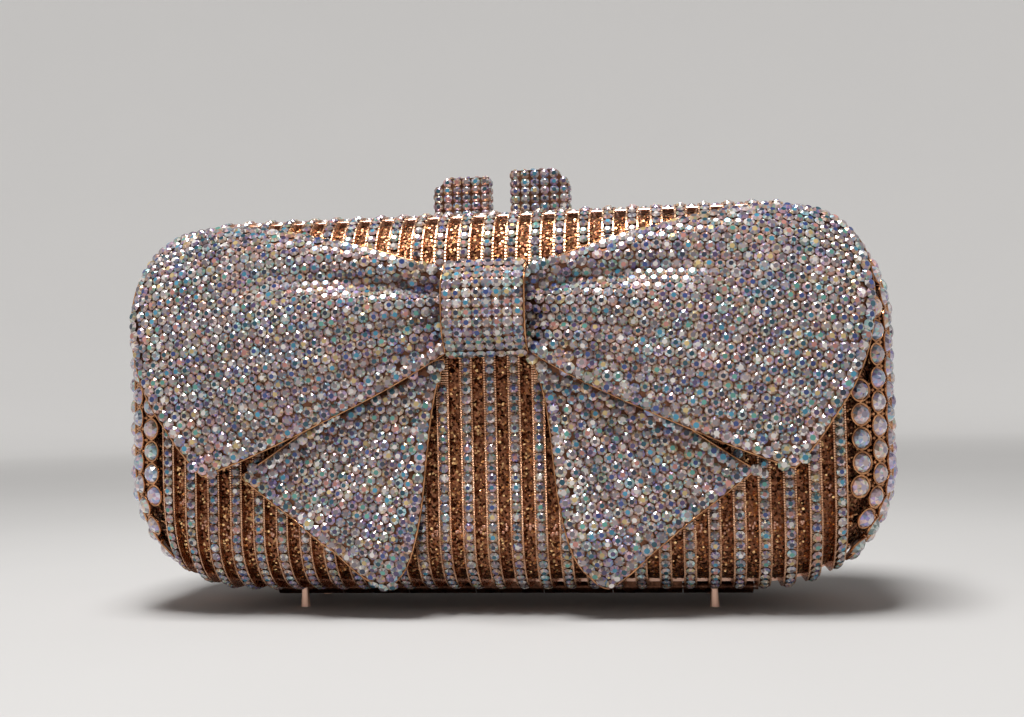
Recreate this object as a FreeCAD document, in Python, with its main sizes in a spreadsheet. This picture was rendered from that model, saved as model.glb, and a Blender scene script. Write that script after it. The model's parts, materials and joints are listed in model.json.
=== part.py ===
import FreeCAD, Part
import math
import os
import Sketcher

# Box clutch with two hinged halves of stone-set ribs, a bow on the front and a squeeze clasp on the ridge.
# Millimetres, +X to the right, +Y to the back, +Z up. The case stands on its feet at z = 0.

SIZES = {
    # Case
    "case_width": 171.0,
    "case_depth": 50.0,
    "case_height": 84.5,
    "outline_radius": 27.0,
    "edge_radius": 14.0,
    "parting_gap": 0.3,
    "cut_overrun": 5.0,
    # Ribs and rim
    "rib_count": 29,
    "rib_pitch": 5.2,
    "rib_width": 2.7,
    "rib_depth": 1.8,
    "channel_width": 2.1,
    "channel_depth": 0.5,
    "rim_depth": 4.0,
    # Liner tray and soft lining
    "liner_gap": 0.1,
    "liner_wall": 1.0,
    "lining_gap": 0.1,
    "lining_wall": 0.8,
    # Lattice ends and their crystals
    "end_gap": 0.2,
    "crystal_radius": 2.0,
    "crystal_pitch": 5.0,
    "crystal_crown": 1.3,
    "crystal_table_radius": 1.1,
    "seat_clearance": 0.05,
    "seat_margin": 0.6,
    # Feet
    "foot_height": 4.8,
    "foot_radius": 1.1,
    "foot_neck_radius": 0.7,
    "foot_rib": 9,
    "foot_setback": 9.0,
    # Hinge
    "hinge_length": 112.0,
    "knuckle_count": 7,
    "knuckle_radius": 1.5,
    "knuckle_gap": 0.3,
    "hinge_pin_radius": 0.75,
    "hinge_pin_overhang": 1.0,
    "hinge_clearance": 0.05,
    "hinge_web": 1.0,
    # Clasp
    "block_width": 13.2,
    "block_height": 9.6,
    "block_depth": 4.4,
    "block_gap": 6.2,
    "block_lift": 1.0,
    "block_setback": 0.8,
    "block_corner": 3.2,
    "stud_radius": 0.9,
    "stud_spacing": 6.0,
    "nut_radius": 1.7,
    "nut_height": 1.2,
    "stem_width": 6.0,
    "stem_depth": 2.0,
    "stem_clearance": 0.1,
    "clasp_travel": 3.5,
    "latch_gap": 0.3,
    "latch_thick": 1.2,
    "latch_arm": 4.0,
    "latch_nose": 1.2,
    "screw_radius": 0.6,
    "screw_head_radius": 1.3,
    "screw_head": 0.8,
    "screw_bite": 2.2,
    "strike_length": 9.0,
    "strike_drop": 2.4,
    "strike_thick": 1.6,
    "guide_thick": 0.8,
    "guide_foot": 1.5,
    "spring_length": 9.0,
    "spring_radius": 1.1,
    "spring_wire": 0.35,
    "lock_room": 1.5,
    # Bow
    "bow_wall": 1.2,
    "bow_gap": 0.3,
    "loop_rise_top": 1.8,
    "loop_rise_low": 4.4,
    "loop_puff": 4.4,
    "loop_pleat": 2.8,
    "tail_rise": 2.0,
    "tail_puff": 1.6,
    "knot_rise_edge": 1.6,
    "knot_height": 9.0,
    "knot_crown": 0.9,
    "post_radius": 0.9,
    "post_bite": 0.5,
}

# Outline of the bow on the unrolled front: shares of half the case's width, and of its height from the base.
LOOP_TOP_SHARES = [(0.07, 0.815), (0.275, 0.88), (0.468, 0.93), (0.661, 0.967), (0.83, 0.96)]
LOOP_END_SHARES = [(0.83, 0.96), (0.91, 0.872), (0.926, 0.76), (0.904, 0.605), (0.843, 0.455), (0.737, 0.316)]
LOOP_LOW_SHARES = [(0.07, 0.645), (0.244, 0.535), (0.407, 0.456), (0.57, 0.382), (0.737, 0.316)]
LOOP_ROOT_SHARES = [(0.07, 0.815), (0.07, 0.73), (0.07, 0.645)]
TAIL_TOP_SHARES = [(0.107, 0.605), (0.275, 0.55), (0.458, 0.44), (0.649, 0.312)]
TAIL_END_SHARES = [(0.649, 0.312), (0.468, 0.173), (0.287, 0.034)]
TAIL_LOW_SHARES = [(0.127, 0.55), (0.155, 0.39), (0.171, 0.24), (0.211, 0.104), (0.287, 0.034)]
TAIL_ROOT_SHARES = [(0.107, 0.605), (0.117, 0.578), (0.127, 0.55)]
KNOT_HALF_WIDTH_SHARE = 0.103
KNOT_LOW_SHARE = 0.612
KNOT_TOP_SHARE = 0.845

# Folds of the loops and tails: where they lie across the piece, how wide they are and how deep.
LOOP_FOLD_SHARES = [(0.24, 0.085, 1.0), (0.58, 0.09, 0.5), (0.80, 0.08, 0.35)]
TAIL_FOLD_SHARES = [(0.36, 0.10, 1.0), (0.68, 0.10, 0.8)]

# How the loops swell and their folds fade on the way out from the knot: where each starts and ends.
LOOP_SWELL_SHARES = (0.0, 0.35)
LOOP_SHRINK_SHARES = (0.5, 1.0)
LOOP_FADE_SHARES = (0.2, 0.95)
LOOP_PINCH_SHARES = (0.0, 0.08)
LOOP_LIFT_SHARES = (0.0, 0.18)
LOOP_ROOT_PUFF_SHARE = 0.2

# Where the tails lift clear of the loops, across the tail and out along it.
TAIL_CLEAR_SHARES = (0.12, 0.42)
TAIL_LIFT_SHARES = (0.1, 0.5)

# Posts under the bow: how far out on the piece they stand, as a rib's number, and how far across it.
LOOP_POST_RIBS = [5, 11]
LOOP_POST_SHARE = 0.5
TAIL_POST_RIBS = [6]
TAIL_POST_SHARE = 0.5

LOOP_STEPS = (17, 25)
TAIL_STEPS = (13, 17)
KNOT_STEPS = (9, 13)

doc = FreeCAD.newDocument("minaudiere")
sheet = doc.addObject("Spreadsheet::Sheet", "dims")
for row, (alias, value) in enumerate(SIZES.items(), 1):
    sheet.set(f"A{row}", alias)
    sheet.set(f"B{row}", str(value))
    sheet.setAlias(f"B{row}", alias)
doc.recompute()


def size(alias):
    return float(getattr(sheet, alias))


def total(names):
    return sum(size(name) for name in names)


def formula(names):
    return "(" + " + ".join(["0"] + [f"dims.{name}" for name in names]) + ")"


# Formulas that several pieces share.
CASE_TOP = "(dims.foot_height + dims.case_height)"
RIM_UNDER = "(dims.foot_height + dims.case_height - dims.rib_depth)"
RIM_FACE = "(dims.parting_gap / 2 + dims.rim_depth)"
END_START = "((dims.rib_count - 1) / 2 * dims.rib_pitch + dims.rib_width / 2 + dims.end_gap)"
HINGE_Z = "(dims.foot_height - dims.knuckle_radius - dims.knuckle_gap)"
BLOCK_CENTRE = "(dims.block_gap / 2 + dims.block_width / 2)"
STEM_Y = "(dims.parting_gap / 2 + dims.rim_depth / 2)"
LATCH_TOP = f"({RIM_UNDER} - dims.latch_gap)"
LATCH_LOW = f"({LATCH_TOP} - dims.latch_thick)"
LATCH_RIGHT = f"(dims.stem_width - {BLOCK_CENTRE})"
GUIDE_LOW = f"({LATCH_LOW} - dims.screw_head - dims.latch_gap - dims.guide_thick)"
GUIDE_RIGHT = f"({LATCH_RIGHT} + dims.spring_length)"
GUIDE_LEFT = f"(-{BLOCK_CENTRE} - dims.stem_width - dims.latch_gap - dims.guide_foot)"

case_top = size("foot_height") + size("case_height")
case_middle = size("foot_height") + size("case_height") / 2
half_width = size("case_width") / 2
half_depth = size("case_depth") / 2

nodes = []


def bind(item, **expressions):
    """Tie properties to the sheet, with double underscores for dots: Placement__Base__x."""
    for name, expression in expressions.items():
        item.setExpression(name.replace("__", "."), expression)
    return item


def add(kind, name, **links):
    item = doc.addObject(kind, name)
    for key, link in links.items():
        setattr(item, key, link)
    return item


def keep(item, label):
    """Make a sub-part of the finished shape, placed so that the origin is under the middle of the whole part."""
    item.Label = label + "_shape"
    node = add("Part::Compound", "node_" + label, Links=[item])
    node.Label = label
    bind(node, Placement__Base__y="dims.knot_height / 2")
    nodes.append(node)
    return item


def box(name, x, y, z, length, depth, height):
    item = doc.addObject("Part::Box", name)
    bind(item, Placement__Base__x=x, Placement__Base__y=y, Placement__Base__z=z)
    return bind(item, Length=length, Width=depth, Height=height)


def rod(name, radius, length, x, y, z, along="Z"):
    """Cylinder from the point (x, y, z) along +X or +Z."""
    item = doc.addObject("Part::Cylinder", name)
    turn = FreeCAD.Rotation(FreeCAD.Vector(0, 1, 0), 90 if along == "X" else 0)
    item.Placement = FreeCAD.Placement(FreeCAD.Vector(), turn)
    bind(item, Radius=radius, Height=length)
    return bind(item, Placement__Base__x=x, Placement__Base__y=y, Placement__Base__z=z)


def mirrored(source, name, normal):
    return add("Part::Mirroring", name, Source=source, Normal=FreeCAD.Vector(*normal))


def sketch_on(body, role, name):
    plane = next(item for item in body.Origin.OriginFeatures if item.Role == role)
    sketch = body.newObject("Sketcher::SketchObject", name)
    sketch.AttachmentSupport = [(plane, "")]
    sketch.MapMode = "FlatFace"
    return sketch


def constrain(sketch, kind, where, name=None, expression=None, value=0.0):
    if expression is None:
        return sketch.addConstraint(Sketcher.Constraint(kind, *where))
    index = sketch.addConstraint(Sketcher.Constraint(kind, *where, value))
    sketch.renameConstraint(index, name)
    sketch.setExpression(f"Constraints.{name}", expression)
    return index


def draw_outline(sketch, tag, inset):
    """The case's front outline, a rounded rectangle, drawn smaller all round by the named insets."""
    inward = total(inset)
    right = half_width - inward
    low = size("foot_height") + inward
    high = case_top - inward
    radius = size("outline_radius") - inward
    flat = right - radius
    point = FreeCAD.Vector
    up = point(0, 0, 1)
    runs = [
        (point(-flat, low), point(flat, low)),
        (point(right, low + radius), point(right, high - radius)),
        (point(flat, high), point(-flat, high)),
        (point(-right, high - radius), point(-right, low + radius)),
    ]
    centres = [(flat, low), (flat, high), (-flat, high), (-flat, low)]
    first = sketch.GeometryCount
    for index, (start, end) in enumerate(runs):
        x, z = centres[index]
        z = z + radius if z == low else z - radius
        circle = Part.Circle(point(x, z), up, radius)
        sketch.addGeometry(Part.LineSegment(start, end))
        sketch.addGeometry(Part.ArcOfCircle(circle, (index - 1) * math.pi / 2, index * math.pi / 2))
    for index in range(8):
        constrain(sketch, "Tangent", (first + index, 2, first + (index + 1) % 8, 1))
    for index in (0, 4):
        constrain(sketch, "Horizontal", (first + index,))
        constrain(sketch, "Vertical", (first + index + 2,))
    for index in (1, 3, 5):
        constrain(sketch, "Equal", (first + index, first + index + 2))
    inner = formula(inset)
    wide = f"dims.case_width - 2 * {inner}"
    tall = f"dims.case_height - 2 * {inner}"
    constrain(sketch, "DistanceX", (first + 6, 1, first + 2, 1), f"{tag}_width", wide, 2 * right)
    constrain(sketch, "DistanceX", (-1, 1, first + 2, 1), f"{tag}_right", f"({wide}) / 2", right)
    constrain(sketch, "DistanceY", (first, 1, first + 4, 1), f"{tag}_height", tall, high - low)
    constrain(sketch, "DistanceY", (-1, 1, first, 1), f"{tag}_low", f"dims.foot_height + {inner}", low)
    corner = f"dims.outline_radius - {inner}"
    constrain(sketch, "Radius", (first + 1,), f"{tag}_corner", corner, radius)


def case_form(name, inset):
    """A whole rounded case, smaller than the outside all round by the named insets."""
    body = doc.addObject("PartDesign::Body", name)
    sketch = sketch_on(body, "XZ_Plane", name + "_outline")
    draw_outline(sketch, "case", inset)
    pad = body.newObject("PartDesign::Pad", name + "_pad")
    pad.Profile = sketch
    pad.SideType = "Symmetric"
    bind(pad, Length=f"dims.case_depth - 2 * {formula(inset)}")
    doc.recompute()
    face_y = half_depth - total(inset)
    rounded = []
    for index, edge in enumerate(pad.Shape.Edges, 1):
        if all(abs(abs(corner.Y) - face_y) < Part.Precision.confusion() for corner in edge.Vertexes):
            if edge.Vertexes[0].Y * edge.Vertexes[-1].Y > 0:
                rounded.append(f"Edge{index}")
    fillet = body.newObject("PartDesign::Fillet", name + "_edges")
    fillet.Base = (pad, rounded)
    bind(fillet, Radius=f"dims.edge_radius - {formula(inset)}")
    doc.recompute()
    return body


def slabs(name, width):
    """Upright slabs, one for each rib of the front half, from the rim's face forwards."""
    body = doc.addObject("PartDesign::Body", name)
    sketch = sketch_on(body, "XZ_Plane", name + "_section")
    bind(sketch, AttachmentOffset__Base__z=RIM_FACE)
    start = -(size("rib_count") - 1) / 2 * size("rib_pitch")
    left = start - size(width) / 2
    right = start + size(width) / 2
    high = case_top + size("cut_overrun")
    corners = [(left, 0), (right, 0), (right, high), (left, high)]
    for index, (x, z) in enumerate(corners):
        end = corners[(index + 1) % 4]
        sketch.addGeometry(Part.LineSegment(FreeCAD.Vector(x, z), FreeCAD.Vector(*end)))
    for index in range(4):
        constrain(sketch, "Coincident", (index, 2, (index + 1) % 4, 1))
    for index in (0, 2):
        constrain(sketch, "Horizontal", (index,))
        constrain(sketch, "Vertical", (index + 1,))
    first = "(dims.rib_count - 1) / 2 * dims.rib_pitch"
    constrain(sketch, "DistanceX", (0, 1, 0, 2), "wide", f"dims.{width}", size(width))
    constrain(sketch, "DistanceX", (0, 1, -1, 1), "left", f"{first} + dims.{width} / 2", -left)
    constrain(sketch, "DistanceY", (1, 1, 1, 2), "tall", f"{CASE_TOP} + dims.cut_overrun", high)
    constrain(sketch, "PointOnObject", (0, 1, -1))
    pad = body.newObject("PartDesign::Pad", name + "_pad")
    pad.Profile = sketch
    bind(pad, Length="dims.case_depth")
    doc.recompute()
    pattern = body.newObject("PartDesign::LinearPattern", name + "_row")
    pattern.Originals = [pad]
    pattern.Direction = (sketch, ["H_Axis"])
    bind(pattern, Length="(dims.rib_count - 1) * dims.rib_pitch", Occurrences="dims.rib_count")
    body.Tip = pattern
    doc.recompute()
    return body


def rim_band(name, side):
    """The metal band at the parting line; side is 1 for the front half and -1 for the back half."""
    body = doc.addObject("PartDesign::Body", name)
    sketch = sketch_on(body, "XZ_Plane", name + "_outline")
    bind(sketch, AttachmentOffset__Base__z=f"{side} * dims.parting_gap / 2")
    draw_outline(sketch, "outside", [])
    draw_outline(sketch, "inside", ["rib_depth"])
    pad = body.newObject("PartDesign::Pad", name + "_pad")
    pad.Profile = sketch
    pad.Reversed = side < 0
    bind(pad, Length="dims.rim_depth")
    return body


def tray(name, outside, inside):
    """The front half of a shell between two case forms, notched at the top for the lock."""
    shell = add("Part::Cut", name + "_shell", Base=outside, Tool=inside)
    half = add("Part::Common", name + "_half", Base=shell, Tool=front_space)
    return add("Part::Cut", name, Base=half, Tool=lock_space)


# Case forms, from the outside in
RIB_INSET = ["rib_depth"]
LINER_INSET = RIB_INSET + ["liner_gap"]
LINER_INNER = LINER_INSET + ["liner_wall"]
LINING_INSET = LINER_INNER + ["lining_gap"]
LINING_INNER = LINING_INSET + ["lining_wall"]
outside_form = case_form("outside_form", [])
channel_form = case_form("channel_form", ["channel_depth"])
core_form = case_form("core_form", RIB_INSET)
liner_form = case_form("liner_form", LINER_INSET)
liner_hollow = case_form("liner_hollow", LINER_INNER)
lining_form = case_form("lining_form", LINING_INSET)
lining_hollow = case_form("lining_hollow", LINING_INNER)
case_shell = add("Part::Cut", "case_shell", Base=outside_form, Tool=core_form)

front_space = box(
    "front_space",
    "-dims.case_width / 2 - dims.cut_overrun",
    "-dims.case_depth",
    "0",
    "dims.case_width + 2 * dims.cut_overrun",
    "dims.case_depth - dims.parting_gap / 2",
    f"{CASE_TOP} + dims.cut_overrun",
)
lock_left = f"({GUIDE_LEFT} - dims.lock_room)"
lock_right = f"({BLOCK_CENTRE} + dims.stud_spacing / 2 + dims.nut_radius + dims.lock_room)"
lock_space = box(
    "lock_space",
    lock_left,
    f"-{RIM_FACE} - dims.lock_room",
    f"{GUIDE_LOW} - dims.lock_room",
    f"{lock_right} - {lock_left}",
    f"2 * ({RIM_FACE} + dims.lock_room)",
    "dims.case_height",
)

# Ribs: strips of the case shell with a channel for their row of stones
rib_slabs = slabs("rib_slabs", "rib_width")
rib_strips = add("Part::Common", "rib_strips", Base=case_shell, Tool=rib_slabs)
channel_slabs = slabs("channel_slabs", "channel_width")
channels = add("Part::Cut", "channels", Base=channel_slabs, Tool=channel_form)
front_ribs = keep(add("Part::Cut", "front_ribs", Base=rib_strips, Tool=channels), "front_ribs")
keep(mirrored(front_ribs, "back_ribs", (0, 1, 0)), "back_ribs")

# Liner trays and soft linings
front_liner = keep(tray("front_liner", liner_form, liner_hollow), "front_liner")
keep(mirrored(front_liner, "back_liner", (0, 1, 0)), "back_liner")
front_lining = keep(tray("front_lining", lining_form, lining_hollow), "front_lining")
keep(mirrored(front_lining, "back_lining", (0, 1, 0)), "back_lining")


# Feet: tapered pegs that stand in the channels of two ribs of each half
def foot(name, side):
    item = doc.addObject("Part::Cone", name)
    bind(item, Radius1="dims.foot_radius", Radius2="dims.foot_neck_radius")
    bind(item, Height="dims.foot_height + dims.channel_depth")
    return bind(item, Placement__Base__x=f"{side} * dims.foot_rib * dims.rib_pitch",
                Placement__Base__y="-dims.foot_setback")


front_feet = add("Part::Compound", "front_feet", Links=[foot("foot_left", -1), foot("foot_right", 1)])
keep(front_feet, "front_feet")
keep(mirrored(front_feet, "back_feet", (0, 1, 0)), "back_feet")

# Hinge: knuckles of the two rims in turn on one pin under the parting line
knuckle_pitch = "(dims.hinge_length / dims.knuckle_count)"


def knuckle(number):
    """One knuckle and its web; the outer knuckles and every second one belong to the back half."""
    to_back = number % 2 == 0
    start = f"(-dims.hinge_length / 2 + {number} * {knuckle_pitch} + dims.knuckle_gap / 2)"
    length = f"({knuckle_pitch} - dims.knuckle_gap)"
    name = f"knuckle_{number}"
    barrel = rod(name + "_barrel", "dims.knuckle_radius", length, start, "0", HINGE_Z, "X")
    web_y = "dims.parting_gap / 2" if to_back else f"-{RIM_FACE}"
    web = box(name + "_web", start, web_y, "dims.foot_height - dims.hinge_web", length, "dims.rim_depth",
              "dims.hinge_web")
    solid = add("Part::Fuse", name + "_solid", Base=barrel, Tool=web)
    bore = rod(name + "_bore", "dims.hinge_pin_radius + dims.hinge_clearance",
               f"{length} + 2 * dims.cut_overrun", f"{start} - dims.cut_overrun", "0", HINGE_Z, "X")
    return to_back, add("Part::Cut", name, Base=solid, Tool=bore)


knuckles = [knuckle(number) for number in range(int(size("knuckle_count")))]
for label, wanted in (("front_knuckles", False), ("back_knuckles", True)):
    group = [piece for to_back, piece in knuckles if to_back == wanted]
    keep(add("Part::Compound", label, Links=group), label)
keep(rod("hinge_pin", "dims.hinge_pin_radius", "dims.hinge_length + 2 * dims.hinge_pin_overhang",
         "-dims.hinge_length / 2 - dims.hinge_pin_overhang", "0", HINGE_Z, "X"), "hinge_pin")


def clasp_block(name, side):
    """A clasp block above the ridge with its outer top corner cut off: side 1 is right, -1 is left."""
    body = doc.addObject("PartDesign::Body", name)
    sketch = sketch_on(body, "XZ_Plane", name + "_face")
    near = side * size("block_gap") / 2
    far = near + side * size("block_width")
    low = case_top + size("block_lift")
    high = low + size("block_height")
    corner = size("block_corner")
    points = [(near, low), (far, low), (far, high - corner), (far - side * corner, high), (near, high)]
    for index, (x, z) in enumerate(points):
        end = points[(index + 1) % 5]
        sketch.addGeometry(Part.LineSegment(FreeCAD.Vector(x, z), FreeCAD.Vector(*end)))
    for index in range(5):
        constrain(sketch, "Coincident", (index, 2, (index + 1) % 5, 1))
    constrain(sketch, "Horizontal", (0,))
    constrain(sketch, "Vertical", (1,))
    constrain(sketch, "Horizontal", (3,))
    constrain(sketch, "Vertical", (4,))

    def across(start, end, label, expression, value):
        ends = (start, end) if side > 0 else (end, start)
        constrain(sketch, "DistanceX", (*ends[0], *ends[1]), label, expression, value)

    across((-1, 1), (0, 1), "near", "dims.block_gap / 2", size("block_gap") / 2)
    across((0, 1), (0, 2), "wide", "dims.block_width", size("block_width"))
    across((3, 1), (1, 1), "cut_across", "dims.block_corner", corner)
    constrain(sketch, "DistanceY", (-1, 1, 0, 1), "low", f"{CASE_TOP} + dims.block_lift", low)
    constrain(sketch, "DistanceY", (4, 2, 4, 1), "tall", "dims.block_height", high - low)
    constrain(sketch, "DistanceY", (1, 2, 3, 1), "cut_down", "dims.block_corner", corner)
    bind(sketch, AttachmentOffset__Base__z=f"{side} * dims.block_setback")
    pad = body.newObject("PartDesign::Pad", name + "_pad")
    pad.Profile = sketch
    pad.Reversed = side < 0
    bind(pad, Length="dims.block_depth")
    return body


# Clasp, front half: a fixed block on two studs with nuts under the rim, and a strike plate
fixed_solid = clasp_block("fixed_block_solid", 1)
studs = []
stud_holes = []
nuts = []
for side in (-1, 1):
    name = "stud_left" if side < 0 else "stud_right"
    stud_x = f"({BLOCK_CENTRE} + {side} * dims.stud_spacing / 2)"
    stud_low = f"({RIM_UNDER} - dims.nut_height)"
    stud_length = f"({CASE_TOP} + dims.block_lift - {stud_low})"
    studs.append(rod(name, "dims.stud_radius", stud_length, stud_x, f"-{STEM_Y}", stud_low))
    hole = rod(name + "_hole", "dims.stud_radius", f"{stud_length} + dims.cut_overrun", stud_x, f"-{STEM_Y}",
               f"{stud_low} - dims.cut_overrun")
    stud_holes.append(hole)
    nut = rod(name + "_nut", "dims.nut_radius", "dims.nut_height", stud_x, f"-{STEM_Y}", stud_low)
    nuts.append(add("Part::Cut", name + "_nut_ring", Base=nut, Tool=hole))
keep(add("Part::MultiFuse", "clasp_fixed_block", Shapes=[fixed_solid] + studs), "clasp_fixed_block")
keep(add("Part::Compound", "clasp_nuts", Links=nuts), "clasp_nuts")
stud_hole_pair = add("Part::Compound", "stud_hole_pair", Links=stud_holes)
keep(add("Part::Cut", "front_rim", Base=rim_band("front_band", 1), Tool=stud_hole_pair), "front_rim")
strike_right = f"({LATCH_RIGHT} - dims.latch_arm - dims.latch_nose - dims.latch_gap)"
keep(box(
    "strike_plate",
    f"{strike_right} - dims.strike_length",
    "-dims.latch_gap - dims.strike_thick",
    f"{RIM_UNDER} - dims.strike_drop",
    "dims.strike_length",
    "dims.strike_thick",
    "dims.strike_drop",
), "strike_plate")

# Clasp, sliding part: a block on a flat stem through the back rim, a latch plate with a hook, and a screw
slide_solid = clasp_block("slide_block_solid", -1)
stem_left = f"(-{BLOCK_CENTRE} - dims.stem_width / 2)"
stem_low = f"({STEM_Y} - dims.stem_depth / 2)"
stem = box("stem", stem_left, stem_low, LATCH_TOP, "dims.stem_width", "dims.stem_depth",
           f"{CASE_TOP} + dims.block_lift - {LATCH_TOP}")
stem_block = add("Part::Fuse", "stem_block", Base=slide_solid, Tool=stem)
screw_low = f"({LATCH_LOW} - dims.screw_head)"
shank = rod("screw_shank", "dims.screw_radius", "dims.latch_thick + dims.screw_bite",
            f"-{BLOCK_CENTRE}", STEM_Y, LATCH_LOW)
keep(add("Part::Cut", "clasp_slide_block", Base=stem_block, Tool=shank), "clasp_slide_block")
latch_left = f"(-{BLOCK_CENTRE} - dims.stem_width)"
latch_bar = box("latch_bar", latch_left, "dims.latch_gap", LATCH_LOW, f"{LATCH_RIGHT} - {latch_left}",
                f"{RIM_FACE} - 2 * dims.latch_gap", "dims.latch_thick")
latch_arm = box("latch_arm_bar", f"{LATCH_RIGHT} - dims.latch_arm", f"-{RIM_FACE} + dims.latch_gap", LATCH_LOW,
                "dims.latch_arm", RIM_FACE, "dims.latch_thick")
nose_depth = f"({RIM_FACE} - 3 * dims.latch_gap - dims.strike_thick)"
latch_nose = box("latch_nose_tip", f"{LATCH_RIGHT} - dims.latch_arm - dims.latch_nose",
                 f"-{RIM_FACE} + dims.latch_gap", LATCH_LOW, "dims.latch_nose", nose_depth, "dims.latch_thick")
latch_solid = add("Part::MultiFuse", "latch_solid", Shapes=[latch_bar, latch_arm, latch_nose])
keep(add("Part::Cut", "latch_plate", Base=latch_solid, Tool=shank), "latch_plate")
screw_cap = rod("screw_cap", "dims.screw_head_radius", "dims.screw_head", f"-{BLOCK_CENTRE}", STEM_Y, screw_low)
keep(add("Part::Fuse", "latch_screw", Base=screw_cap, Tool=shank), "latch_screw")

# Clasp, back half: the slot in the rim, a strap that guides the latch plate, and the return spring
slot_length = "(dims.stem_width + dims.clasp_travel + 2 * dims.stem_clearance)"
slot = box("stem_slot", f"{stem_left} - dims.stem_clearance", f"{stem_low} - dims.stem_clearance",
           f"{RIM_UNDER} - dims.cut_overrun", slot_length, "dims.stem_depth + 2 * dims.stem_clearance",
           "2 * dims.cut_overrun + dims.rib_depth")
keep(add("Part::Cut", "back_rim", Base=rim_band("back_band", -1), Tool=slot), "back_rim")
guide_depth = f"({RIM_FACE} - 2 * dims.latch_gap)"
guide_length = f"({GUIDE_RIGHT} + dims.guide_foot - {GUIDE_LEFT})"
strap = box("guide_strap", GUIDE_LEFT, "dims.latch_gap", GUIDE_LOW, guide_length, guide_depth, "dims.guide_thick")
guide_feet = [
    box(name, x, "dims.latch_gap", GUIDE_LOW, "dims.guide_foot", guide_depth, f"{RIM_UNDER} - {GUIDE_LOW}")
    for name, x in (("guide_foot_left", GUIDE_LEFT), ("guide_foot_right", GUIDE_RIGHT))
]
keep(add("Part::MultiFuse", "latch_guide", Shapes=[strap] + guide_feet), "latch_guide")
spring_z = f"({LATCH_TOP} - dims.spring_radius)"
spring_y = f"({RIM_FACE} / 2)"
spring_outer = rod("spring_outer", "dims.spring_radius", "dims.spring_length", LATCH_RIGHT, spring_y, spring_z, "X")
spring_inner = rod("spring_inner", "dims.spring_radius - dims.spring_wire", "dims.spring_length", LATCH_RIGHT,
                   spring_y, spring_z, "X")
keep(add("Part::Cut", "latch_spring", Base=spring_outer, Tool=spring_inner), "latch_spring")


# Bow: thin shells that follow the front of the case
def over_case(across, up, height):
    """A point over the front: across and up are measured along the surface, height square to it."""
    edge = size("edge_radius")
    corner = size("outline_radius") - edge
    flat_x = half_width - edge
    flat_z = size("case_height") / 2 - edge
    side_x = math.copysign(1.0, across)
    side_z = math.copysign(1.0, up - case_middle)
    x, z = abs(across), abs(up - case_middle)
    beyond_x, beyond_z = x - (flat_x - corner), z - (flat_z - corner)
    if beyond_x > 0 and beyond_z > 0:
        reach = math.hypot(beyond_x, beyond_z)
        out_x, out_z = beyond_x / reach, beyond_z / reach
        past = reach - corner
        foot_x, foot_z = flat_x - corner + corner * out_x, flat_z - corner + corner * out_z
    elif x - flat_x > z - flat_z:
        out_x, out_z, past, foot_x, foot_z = 1.0, 0.0, x - flat_x, flat_x, z
    else:
        out_x, out_z, past, foot_x, foot_z = 0.0, 1.0, z - flat_z, x, flat_z
    if past <= 0:
        return FreeCAD.Vector(across, -half_depth - height, up)
    angle = min(past / edge, math.pi / 2)
    drift = max(0.0, past - edge * math.pi / 2)
    swing = (edge + height) * math.sin(angle)
    return FreeCAD.Vector(
        side_x * (foot_x + swing * out_x),
        drift - (half_depth - edge) - (edge + height) * math.cos(angle),
        case_middle + side_z * (foot_z + swing * out_z),
    )


def outline_curve(shares):
    """A smooth curve on the unrolled front through points given as shares of the case."""
    points = [
        FreeCAD.Vector(across * half_width, size("foot_height") + up * size("case_height"), 0)
        for across, up in shares
    ]
    curve = Part.BSplineCurve()
    curve.interpolate(points)
    return curve


def point_on(curve, part):
    return curve.value(curve.FirstParameter + part * (curve.LastParameter - curve.FirstParameter))


def patch(top, low, root, end):
    """A place inside four edges: out goes from root to end, over goes from the top edge to the low edge."""
    def place(out, over):
        sides = point_on(top, out) * (1 - over) + point_on(low, out) * over
        sides += point_on(root, over) * (1 - out) + point_on(end, over) * out
        corners = point_on(top, 0) * ((1 - out) * (1 - over)) + point_on(top, 1) * (out * (1 - over))
        corners += point_on(low, 0) * ((1 - out) * over) + point_on(low, 1) * (out * over)
        return sides - corners
    return place


def ease(value, shares):
    """Rises smoothly from 0 to 1 between two shares."""
    start, end = shares
    value = min(max((value - start) / (end - start), 0.0), 1.0)
    return value * value * (3 - 2 * value)


def folds(over, shares):
    return sum(depth * math.exp(-((over - middle) / wide) ** 2) for middle, wide, depth in shares)


def loop_height(out, over):
    lift = (size("loop_rise_low") - size("loop_rise_top")) * ease(out, LOOP_LIFT_SHARES)
    rise = size("loop_rise_top") + lift * over
    bulge = max(math.sin(math.pi * over), 0.0) ** 0.9
    swell = ease(out, LOOP_SWELL_SHARES) * (1 - ease(out, LOOP_SHRINK_SHARES))
    puff = LOOP_ROOT_PUFF_SHARE + (1 - LOOP_ROOT_PUFF_SHARE) * swell
    fade = ease(out, LOOP_PINCH_SHARES) * (1 - ease(out, LOOP_FADE_SHARES))
    height = rise + size("loop_puff") * bulge * puff
    height -= size("loop_pleat") * folds(over, LOOP_FOLD_SHARES) * fade
    return max(height, size("bow_wall") + size("bow_gap"))


def tail_height(out, over):
    free = ease(over, TAIL_CLEAR_SHARES) * ease(out, TAIL_LIFT_SHARES)
    height = size("tail_rise") + size("tail_puff") * free
    height -= size("tail_puff") * folds(over, TAIL_FOLD_SHARES) * free
    return max(height, size("bow_wall") + size("bow_gap"))


def knot_height(out, over):
    arch = 1 - (2 * over - 1) ** 4
    crown = size("knot_crown") * (1 - (2 * out - 1) ** 2)
    rise = size("knot_rise_edge")
    return rise + (size("knot_height") - size("knot_crown") - rise + crown) * arch


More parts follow.
